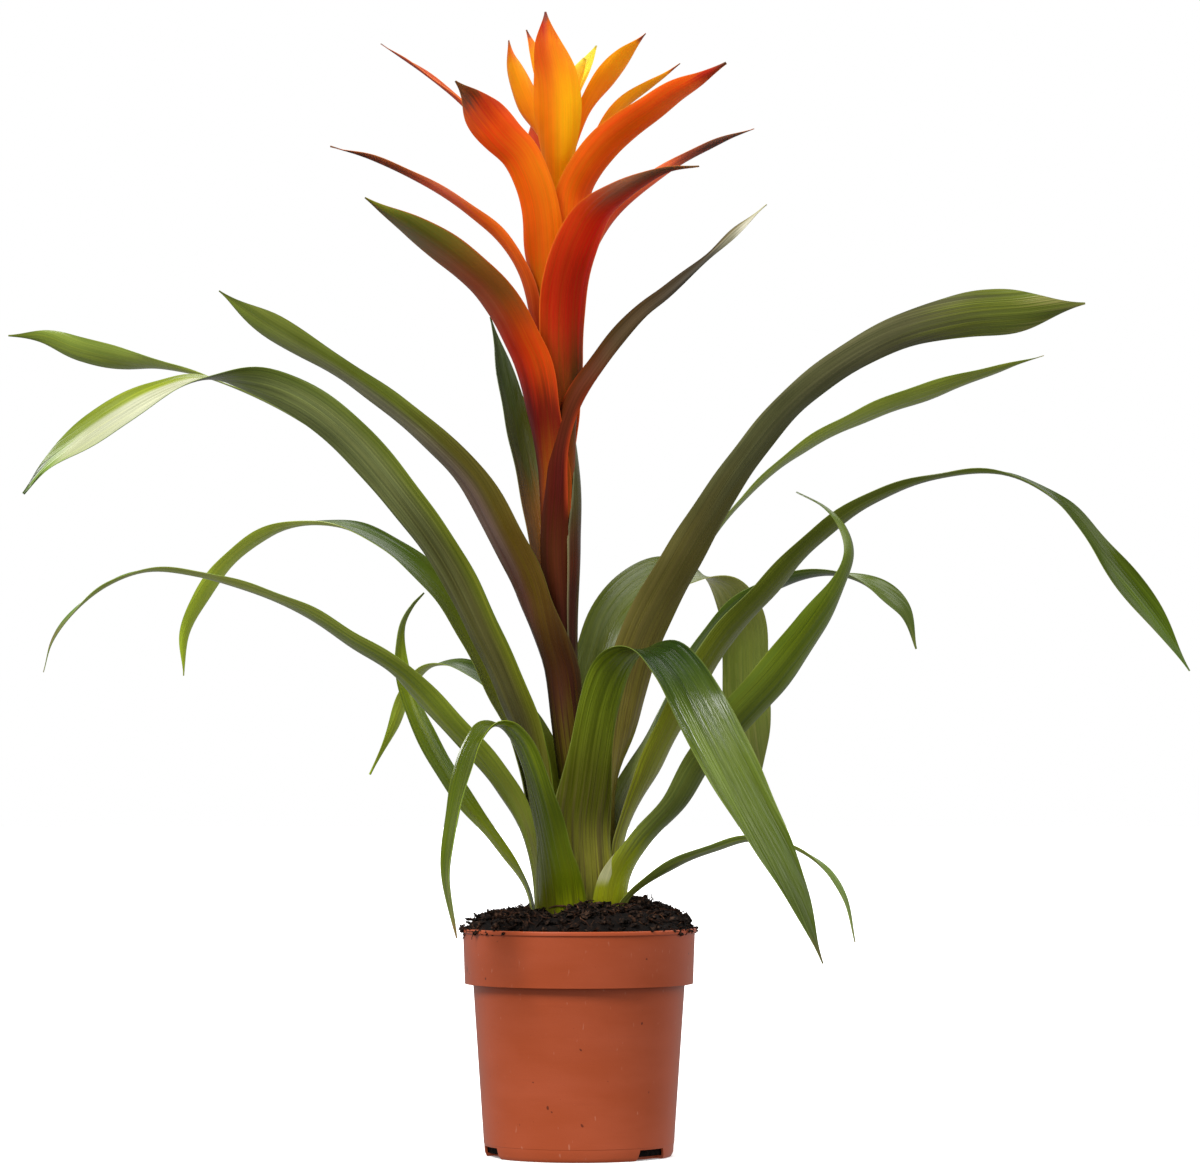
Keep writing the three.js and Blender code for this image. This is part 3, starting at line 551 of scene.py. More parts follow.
class Finish(Enum):
    """The finishes that the blades come in. Their stops hold the blades' own colours and also
    painted light and shade.
    """

    FRESH_GREEN = Skin(
        FRESH_UPPER,
        Shade("0:a3ac62 10:98a545 30:6b7a2e 70:94aa2d 100:76893e"),
        streak="#5a4a2a", streak_reach=0.16, streak_share=0.35,
    )
    HOOKED_GREEN = Skin(
        Shade("0:a9b262 8:7f9038 20:757e08 50:4e5f08 85:748608 98.5:6f7d34 100:59632c"),
        HOOKED_UNDER,
        streak="#5a4a29", streak_reach=0.16, streak_share=0.35,
    )
    SHADED_GREEN = Skin(
        Shade("0:a9b262 8:8f9c40 20:87901e 50:5a6d22 80:505e1c 98.5:4c5a24 100:59632c"),
        HOOKED_UNDER,
        streak="#5a4a27", streak_reach=0.16, streak_share=0.35,
    )
    CURLED_GREEN = Skin(
        FRESH_UPPER,
        Shade("0:a3ac62 7:b4b91c 14:a2aa22 24:66722a 30:576125 70:5e6f0c 86:55641c 100:46521f"),
        streak="#5a4a28", streak_reach=0.16, streak_share=0.35, fold_start=0.112, fold_end=0.172,
    )
    MOSS_GREEN = Skin(
        Shade("0:a9b262 8:7f9038 20:728121 50:445008 85:4e5d08 98.5:6e7436 100:7a5a34"),
        Shade("0:a3ac62 7:9aa612 14:66740c 30:4b5808 70:8fa818 100:76893e",
              "0:a3ac62 6:545908 30:465208 70:8fa818 100:76893e"),
        streak="#5a4a2b", streak_reach=0.16, streak_share=0.35, sheen_share=0.06, roughness=0.18,
        relief=0.0006,
    )
    FINE_GREEN = Skin(
        FINE_UPPER,
        Shade("0:8f9656 15:70791e 40:788823 72:a4b04c 80:9cab48 90:84943a 100:77882c"),
        streak="#4c3b2c", streak_reach=0.3, streak_share=0.5,
    )
    SLIM_GREEN = Skin(
        FINE_UPPER,
        Shade("0:8f9656 15:70791e 40:6c7a20 75:8c9a34 100:8b9631"),
        streak="#4c3b2b", streak_reach=0.3, streak_share=0.5,
    )
    BRIGHT_GREEN = Skin(
        Shade("0:9aa35a 10:5e6d33 30:666a16 60:3b4d12 90:6e8434 100:6b5a34"),
        Shade("0:8f9656 15:5b5f38 40:515c34 75:b2c244 100:9aae2c"),
        streak="#4c3b2d", streak_reach=0.3, streak_share=0.5, gloss=0.2,
    )
    LONG_GREEN = Skin(
        Shade("0:a8ab62 8:8c8a48 22:6b7432 45:4f6226 70:2c3a0a 86:3c4a0a 95:44560b 100:3c5010"),
        Shade("0:a09727 12:989a20 24:82881c 36:68711e 50:656f1f 100:87a13b"),
        streak="#4e4426", streak_reach=0.36, streak_share=0.7, margin="#a5ac6a", margin_share=0.25,
        gloss=0.2,
    )
    BROAD_OLIVE = Skin(
        Shade("0:9a9a5a 10:5d6034 40:4c5a28 100:5b702c"),
        Shade("0:7d7448 15:a89545 40:685f2b 62:5e5f38 80:63623e 93:697324 100:858445"),
        streak="#3c3128", streak_reach=0.45, streak_share=0.5, margin="#83884f", margin_share=0.25,
    )
    BACK_GREEN = Skin(
        Shade("0:8f9a54 20:747a38 50:5d6819 100:383f15"),
        Shade("0:8f9656 30:59663a 60:c6c36a 80:798534 100:6b6f37"),
        streak="#4a4630", streak_reach=0.2, streak_share=0.4,
    )
    FRONT_GREEN = Skin(
        Shade("0:a9ad5c 10:8a9440 24:5c7428 50:1d3009 72:53621e 95:414f0f 100:5e522e"),
        Shade("0:a3a757 8:a09a3a 20:474a08 42:6b7b18 100:54702c"),
        streak="#4b3a2e", streak_reach=0.34, streak_share=0.6, margin="#9fae5a", margin_share=0.25,
        drift=0.02, relief=0.0008, sheen_share=0.06, roughness=0.18, band_share=0.34,
        line_share=0.32, hue_drift=0.01, gloss=0.3,
    )
    TWO_TONE_GREEN = Skin(
        # Painted highlight: the pale stops from 73 to 93 % on the upper side's left half stand for
        # white glare on the twisted tip.
        Shade("0:9aa35a 20:56702a 60:5f6d2c 73:a4a67c 84:b4b696 93:a2a67c 98:6f8a34 100:2c3c0c",
              "0:9aa35a 20:56702a 60:5f6d2c 74:76802c 84:808c1c 95:6c7c18 100:2c3c0c",
              (0.6, 0.74)),
        Shade("0:94a04c 12:545208 40:666e16 70:5a6624 100:7e9220",
              "0:6d6a44 15:41381a 35:5a572a 60:767d48 100:8fa447",
              (0.08, 0.42)),
        streak="#3e3530", streak_reach=0.3, streak_share=0.6, margin="#6f8c2a", margin_share=0.4,
        margin_width=0.07, line_share=0.42,
    )
    BROWN_SHEATH = Skin(
        Shade("0:5a3a30 20:4a4a2c 60:4c6024 100:5f7432"),
        Shade("0:675b15 15:4a240e 35:654c11 50:5e551a 70:667123 100:67712a",
              "0:33200f 15:2b0b0b 30:5c3126 45:775d53 70:918d6e 100:7d8e30"),
        streak="#2c1714", streak_reach=0.5, streak_share=0.6, margin="#6c6a34", margin_share=0.3,
    )
    STRIP_GREEN = Skin(
        Shade("0:5a3426 25:7a3a10 50:805008 68:424608 84:33400c 100:33420e"),
        Shade("0:4a2a22 25:5a4a2c 50:54602c 100:5c7630"),
        streak="#4a241c", streak_reach=0.5, streak_share=0.4, margin="#8d8f5a", margin_share=0.12,
        gloss=0.2,
    )
    RUSSET_STRIP = Skin(
        Shade("0:5a3426 25:694310 50:646620 100:6f8236"),
        Shade("0:2c1713 30:3e1912 38:491c08 43:442108 60:46410e 100:5c7630"),
        drift=0.02, streak="#4a241c", streak_reach=0.3, streak_share=0.4, margin="#a9a877",
        margin_share=0.4, margin_width=0.12,
    )
    MAROON = Petal(
        Shade("0:5c1f18 30:6d3524 60:62402c 90:5d5a3c 100:8a8452"),
        Shade("0:3c1a10 20:4e2008 35:4c1008 50:602811 65:55432b 85:514c42 91:8f8a70 95:c2bda6 "
              "100:a9a678",
              "0:4c2010 20:3e1b08 35:511608 50:58240a 65:3a2a0f 85:382e1c 93:71694a 100:a9a678"),
        streak="#3a1411", streak_reach=0.5, streak_share=0.4, margin="#c8481c", margin_share=0.75,
        margin_width=0.3, margin_start=0.32, margin_end=0.58, line_share=0.34, vein_share=0.2,
        glow=0.0,
    )
    GREEN_TIPPED = Petal(
        Shade("0:7d1c0c 30:8f2c10 50:6e3a1c 75:55521f 100:5c6a24"),
        Shade("0:8a3a10 25:a04f0e 42:6e1c08 55:d74908 70:754515 90:595f1d 100:717a22",
              "0:7a2a0e 25:4e1608 42:570a08 55:ad2208 70:9f4f32 90:7c7455 100:4a4a24"),
        streak="#4f120c", streak_reach=0.4, streak_share=0.3, margin="#e0561a", margin_share=0.5,
        glow=0.1,
    )
    SCARLET = Petal(
        Shade("0:a8280c 40:b8330c 75:8c2c18 100:4f3928"),
        Shade("0:7a4a18 20:85400f 40:4a2d08 60:ac2108 75:d52708 86:9c3420 100:4b4034",
              "0:8a4414 20:a8380c 40:873a08 60:b02b08 75:c33308 84:80503c 91:58402f 100:3c4234"),
        streak="#6e140a", streak_reach=0.4, streak_share=0.2, margin="#e8641e", margin_share=0.7,
    )
    SLIM_RED = Petal(
        Shade("0:c4480c 30:d05a0c 60:c9502a 80:7c3c30 100:4b3024"),
        Shade("0:c4480c 30:852208 60:fa6e21 72:dc6e52 84:7a4630 95:4c3428 100:3b2820"),
        margin="#e0743c", margin_share=0.5,
    )
    FAR_RED = Petal(
        Shade("0:c4480c 30:cd5606 60:d2502c 76:a8503c 87:4c3a32 100:3f3a32"),
        Shade("0:c4480c 30:b83808 60:c44a24 74:f8744a 82:8a4a3a 88:4c3a32 100:3f3a32"),
        margin="#e8703a", margin_share=0.5,
    )
    ORANGE = Petal(
        Shade("0:e06a12 50:dd5a12 85:b03a18 100:473b2b"),
        Shade("0:9a6a24 8:d8700e 25:e8780f 45:ec6a08 65:f0750a 82:d14708 90:a52f08 95:4b260d "
              "100:33301f",
              "0:8a5a1c 27:7c561c 35:b05a0e 45:c25108 65:ef6308 82:f75112 88:c94b20 94:5c3d30 "
              "100:33301f"),
        margin="#e4561c", margin_share=0.5,
    )
    RED_ORANGE = Petal(
        Shade("0:d85a0c 50:cc4a0c 85:a83a14 100:4a2f22"),
        Shade("0:b8540a 20:c9560a 45:e45408 70:fa6408 88:fa6d30 95:8a2c1c 100:302420",
              "0:b8480a 20:cc500a 45:e16408 70:d64f08 88:e6540f 95:ad2c1a 100:302420"),
        margin="#e87a24", margin_share=0.5,
    )
    SLIM_ORANGE = Petal(
        Shade("0:e07208 50:d45608 80:b04a2c 94:8a4034 100:40302a"),
        Shade("0:e07208 50:d45608 80:a84a34 94:8a4034 100:40302a"),
        margin="#e87822", margin_share=0.4,
    )
    GOLD = Petal(
        Shade("0:ee9a10 40:f2a012 80:ee920c 93:d8701c 97:8a4430 100:4a2c24"),
        Shade("0:ec920e 35:ec7808 60:fa8c0a 80:ff9f10 93:fd9e14 97:8a4430 100:4a2c24"),
        margin="#ee7a10", margin_share=0.6, glow=0.3, glow_radius=(0.003, 0.0018, 0.0006),
    )
    AMBER = Petal(
        Shade("0:c9690e 50:d47006 85:d98408 95:b4540c 100:4a2c24"),
        Shade("0:c9690e 50:d47606 85:cc8205 95:b4540c 100:4a2c24"),
        margin="#c85a0c", margin_share=0.6, glow=0.45,
    )
    FLAME = Petal(
        Shade("0:f0980c 50:f6a30c 90:e07810 100:55302c"),
        Shade("0:f2b40c 30:faa708 60:f0a208 85:ce7008 95:b55108 98:6a3428 100:40242a",
              "0:f0a40c 30:cb7108 60:d17108 85:b64808 94:9a2608 98:6a3428 100:40242a"),
        margin="#e8780c", margin_share=0.5, glow=0.45,
    )
    LEMON = Petal(
        LEMON_SIDE,
        LEMON_SIDE,
        margin="#f8c030", margin_share=0.3, glow=0.45,
    )


@dataclass(frozen=True)
class Foot:
    """Where a blade starts: height and radius in mm, direction and half wrap in degrees."""

    z: float
    angle: float
    radius: float
    wrap: float


class SmoothLine:
    """A smooth line through given points, with the same bends as the CAD part's lines."""

    GAP_POWER = 0.25

    def __init__(self, points: np.ndarray) -> None:
        """Work out the line's pieces from its points.

        Args:
            points: The points that the line runs through, one in each row.
        """
        ends = (2 * points[0] - points[1], 2 * points[-1] - points[-2])
        wide = np.vstack([ends[0], points, ends[1]])
        gaps = np.sum(np.diff(wide, axis=0) ** 2, axis=1) ** self.GAP_POWER
        self.terms = []
        for i in range(len(points) - 1):
            a, b, c, d = wide[i : i + 4]
            before, here, after = gaps[i : i + 3]
            start = ((b - a) / before - (c - a) / (before + here) + (c - b) / here) * here
            end = ((c - b) / here - (d - b) / (here + after) + (d - c) / after) * here
            square = -3 * b + 3 * c - 2 * start - end
            self.terms.append((b, start, square, 2 * b - 2 * c + start + end))

    def walk(self, steps: int) -> np.ndarray:
        """Read the line at equal steps on each of its pieces.

        Args:
            steps: The number of steps on each piece.

        Returns:
            The points, one in each row.
        """
        t = (np.arange(steps) / steps)[:, None]
        rows = [p + q * t + r * t**2 + s * t**3 for p, q, r, s in self.terms]
        return np.vstack([*rows, sum(self.terms[-1])[None]])


def read_along(values: tuple[float, ...], place: np.ndarray) -> np.ndarray:
    """Read evenly spaced values as one smooth curve.

    Args:
        values: The values from foot to tip.
        place: The places to read at, from 0 to 1.

    Returns:
        The value at each place.
    """
    listed = np.array(values, dtype=float)
    last = len(listed) - 1
    scaled = np.clip(place, 0, 1) * last
    index = np.minimum(np.floor(scaled).astype(int), last - 1)
    before, start = listed[np.maximum(index - 1, 0)], listed[index]
    end, after = listed[index + 1], listed[np.minimum(index + 2, last)]
    t = scaled - index
    rise = (end - start) * t * t * (3 - 2 * t)
    leaving = (end - before) / 2 * t * (1 - t) ** 2
    arriving = (after - start) / 2 * t * t * (1 - t)
    return start + rise + leaving - arriving


class Axis:
    """The slightly bent middle line of the plant, in mm."""

    LINE = (
        (0.5, 0, 100), (0.5, 0, 128), (-1.5, 0, 165), (-5, 0, 205), (-9.5, 0, 283),
        (-10, 0, 360), (-13, 0, 436), (-10, 0, 498), (-6, 0, 530),
    )
    STEPS = 400

    def __init__(self) -> None:
        """Walk the line once."""
        self.points = SmoothLine(np.array(self.LINE, dtype=float)).walk(self.STEPS)

    def at(self, z: float) -> np.ndarray:
        """Give the middle of the plant at a height.

        Args:
            z: The height in mm.

        Returns:
            The point in mm.
        """
        x = np.interp(z, self.points[:, 2], self.points[:, 0])
        return np.array([x, 0.0, z])


@dataclass(frozen=True)
class BladeFrames:
    """What a blade's surface is built on, one row for each ring from foot to tip, in mm."""

    centre: np.ndarray
    normal: np.ndarray
    side: np.ndarray
    place: np.ndarray
    opened: np.ndarray
    reach: np.ndarray
    length: float


class Growth(Enum):
    """The kinds of blades, each with its thickness in mm and the slope of its sheath."""

    ROSETTE = (0.7, 0.06)
    STALK_LEAF = (0.7, 0.0556)
    LOW_BRACT = (0.65, 0.0556)
    HEAD_BRACT = (0.65, 0.075)


@dataclass(frozen=True)
class Blade:
    """One leaf, bract or floret. Lengths are in mm and angles in degrees."""

    name: str
    growth: Growth
    finish: Finish
    foot: Foot
    rise: float
    trough: float
    path: tuple[Point, ...]
    wide: tuple[float, ...]
    bank: tuple[float, ...]

    SHEATH_SHARES: ClassVar[Point] = (0.0, 0.5, 1.0)
    STEPS: ClassVar[int] = 60
    OPENING: ClassVar[float] = 45.0
    TIP_HALF_WIDTH: ClassVar[float] = 0.5
    TIP_PACKING: ClassVar[float] = 1.35

    def controls(self, axis: Axis) -> np.ndarray:
        """Find the points that the blade's middle line runs through.

        Args:
            axis: The middle line of the plant.

        Returns:
            The points in mm, one in each row.
        """
        turn = math.radians(self.foot.angle)
        outward = np.array([math.cos(turn), math.sin(turn), 0.0])
        slope = self.growth.value[1]
        sheath = []
        for share in self.SHEATH_SHARES:
            climbed = share * self.rise
            reach = self.foot.radius + slope * climbed
            sheath.append(axis.at(self.foot.z + climbed) + outward * reach)
        return np.vstack([*sheath, *np.array(self.path, dtype=float)])

    def frames(self, axis: Axis, rings: int) -> BladeFrames:
        """Carry a frame along the blade, turn it by its bank and read it at the rings.

        Args:
            axis: The middle line of the plant.
            rings: The number of spans between rings.

        Returns:
            The frame at each ring.
        """
        points = SmoothLine(self.controls(axis)).walk(self.STEPS)
        spans = np.linalg.norm(np.diff(points, axis=0), axis=1)
        lengths = np.concatenate([[0.0], np.cumsum(spans)])
        place = lengths / lengths[-1]
        ahead = np.vstack([points[1:], points[-1:]]) - np.vstack([points[:1], points[:-1]])
        tangents = ahead / np.linalg.norm(ahead, axis=1)[:, None]
        turn = math.radians(self.foot.angle)
        inward = -np.array([math.cos(turn), math.sin(turn), 0.0])
        sheath_end = lengths[(len(self.SHEATH_SHARES) - 1) * self.STEPS]
        opened = smoothstep(lengths, sheath_end, sheath_end + self.OPENING)
        banks = np.radians(read_along(self.bank, place))
        normals = np.empty_like(points)
        carried = inward.copy()
        for i, tangent in enumerate(tangents):
            carried = carried - tangent * carried.dot(tangent)
            carried /= np.linalg.norm(carried)
            turned = carried * math.cos(banks[i]) + np.cross(tangent, carried) * math.sin(banks[i])
            normals[i] = inward * (1 - opened[i]) + turned * opened[i]
        normals /= np.linalg.norm(normals, axis=1)[:, None]
        sides = np.cross(tangents, normals)
        sides /= np.linalg.norm(sides, axis=1)[:, None]
        reach = self.foot.radius + self.growth.value[1] * np.minimum(lengths, self.rise)
        where = 1 - (1 - np.arange(rings + 1) / rings) ** self.TIP_PACKING

        def read(rows: np.ndarray) -> np.ndarray:
            """Read values at the rings.

            Args:
                rows: The values along the blade, one or three in each row.

            Returns:
                The values at the rings.
            """
            if rows.ndim == 1:
                return np.interp(where, place, rows)
            return np.stack([np.interp(where, place, rows[:, k]) for k in range(3)], axis=1)

        normal, side = read(normals), read(sides)
        normal /= np.linalg.norm(normal, axis=1)[:, None]
        side /= np.linalg.norm(side, axis=1)[:, None]
        return BladeFrames(read(points), normal, side, where, read(opened), read(reach),
                           lengths[-1])


@dataclass(frozen=True)
class BladeMaker:
    """Builds and dresses all blades of the plant."""

    leaf_rings: int = 130
    bract_rings: int = 76
    strips: int = 16
    hollow_share: float = 0.5
    thin_margin: float = 0.45
    thin_tip: float = 0.55
    tip_reach: float = 0.08
    ripple: float = 0.35
    ripple_length: float = 38.0
    ripple_slant: float = 2.2
    slow_share: float = 0.6
    slow_turn: float = 3.7
    slow_phase: float = 2.3
    slow_slant: float = 3.1
    apart: float = 7.3
    smooth_angle: float = 50.0

    def ripples(self, across: np.ndarray, along: np.ndarray, phase: float) -> np.ndarray:
        """Work out the blade's two slanting ripples, one quick and one slow.

        Args:
            across: The share across, from 0 to 1.
            along: The distance from the foot, in mm.
            phase: Where the ripples start, in radians.

        Returns:
            The height of both ripples together, as a share of a ripple.
        """
        place = along / self.ripple_length
        quick = np.sin(place * FULL_TURN + phase + self.ripple_slant * across)
        slow = np.sin(place * self.slow_turn + phase * self.slow_phase - self.slow_slant * across)
        return quick + self.slow_share * slow

    def build(self, blade: Blade, axis: Axis, seed: int) -> bpy.types.Object:
        """Shape a grid into a blade and give it its thickness.

        Args:
            blade: The blade to build.
            axis: The middle line of the plant.
            seed: A number that sets this blade's own irregularities.

        Returns:
            The finished mesh object, without its material.
        """
        rings = self.leaf_rings if blade.growth is Growth.ROSETTE else self.bract_rings
        frames = blade.frames(axis, rings)
        deselect()
        bpy.ops.mesh.primitive_grid_add(x_subdivisions=self.strips, y_subdivisions=rings,
                                        size=1.0, calc_uvs=True)
        piece = bpy.context.object
        mesh = piece.data
        count = len(mesh.vertices)
        flat = np.empty(count * 3)
        mesh.vertices.foreach_get("co", flat)
        flat = flat.reshape(-1, 3)
        across = np.clip(flat[:, 0] + 0.5, 0.0, 1.0)
        ring = np.rint((flat[:, 1] + 0.5) * rings).astype(int)
        wrap, trough = math.radians(blade.foot.wrap), math.radians(blade.trough)
        spread = wrap + (trough - wrap) * frames.opened
        wide = np.maximum(read_along(blade.wide, frames.place), blade.TIP_HALF_WIDTH)
        sheath = frames.reach * wrap
        half = sheath + (wide - sheath) * frames.opened
        radius = half / spread
        hollow = radius * (1 - np.cos(spread))
        off = 2 * across - 1
        turn = off * spread[ring]
        away = radius[ring] * (1 - np.cos(turn))
        away = away - self.hollow_share * hollow[ring] * frames.opened[ring]
        phase = random.Random(seed).uniform(0, FULL_TURN)
        along = frames.place[ring] * frames.length
        wave = self.ripples(across, along, phase)
        away = away + wave * self.ripple * off ** 2 * frames.opened[ring] ** 2
        place = frames.centre[ring] + frames.side[ring] * (radius[ring] * np.sin(turn))[:, None]
        place = place + frames.normal[ring] * away[:, None]
        mesh.vertices.foreach_set("co", (place * MM).ravel())
        self.measure(mesh, across, frames.place[ring], off * half[ring] * MM, along * MM, seed)
        group = piece.vertex_groups.new(name="full")
        thick = self.thin_margin + (1 - self.thin_margin) * (1 - np.abs(off) ** 3)
        inside = smoothstep(1 - frames.place[ring], 0.0, self.tip_reach)
        thick = thick * (self.thin_tip + (1 - self.thin_tip) * inside)
        for index, weight in enumerate(thick.tolist()):
            group.add([index], weight, "REPLACE")
        solid = piece.modifiers.new("thickness", "SOLIDIFY")
        solid.thickness = blade.growth.value[0] * MM
        solid.offset = 0.0
        solid.vertex_group = "full"
        apply_all(piece)
        share = mesh.attributes["share"]
        values = np.empty(len(mesh.vertices) * 3)
        share.data.foreach_get("vector", values)
        values = values.reshape(-1, 3)
        values[count:, 2] = 1.0
        share.data.foreach_set("vector", values.ravel())
        shade_smooth(piece, self.smooth_angle)
        return piece

    def measure(self, mesh: bpy.types.Mesh, across: np.ndarray, along: np.ndarray,
                width: np.ndarray, length: np.ndarray, seed: int) -> None:
        """Write a blade's own places into its mesh, for its finish to read.

        Args:
            mesh: The blade's mesh.
            across: The share across, from 0 to 1.
            along: The share along, from 0 to 1.
            width: The distance from the middle line, in metres.
            length: The distance from the foot, in metres.
            seed: The blade's own number.
        """
        zero = np.zeros_like(across)
        places = {
            "share": (across, along, zero), "place": (width, length, zero + seed * self.apart),
        }
        for name, parts in places.items():
            layer = mesh.attributes.new(name, "FLOAT_VECTOR", "POINT")
            layer.data.foreach_set("vector", np.stack(parts, axis=1).astype(np.float32).ravel())

    def make(self, blades: tuple[Blade, ...], axis: Axis, slots: dict[str, str]) -> None:
        """Build and dress the blades, each in its finish.

        Args:
            blades: The blades of the plant.
            axis: The middle line of the plant.
            slots: The record's material slot of each CAD node.
        """
        grain, margin = BladeGrain().pattern_group(), BladeGrain.margin_group()
        materials: dict[Finish, bpy.types.Material] = {}
        for seed, blade in enumerate(blades, start=1):
            look = blade.finish
            if look not in materials:
                materials[look] = look.value.dress(look.name.lower(), grain, margin)
            piece = self.build(blade, axis, seed)
            piece.data.materials.append(materials[look])
            settle(piece, f"{blade.name}_skin", slots[blade.name], blade.name)


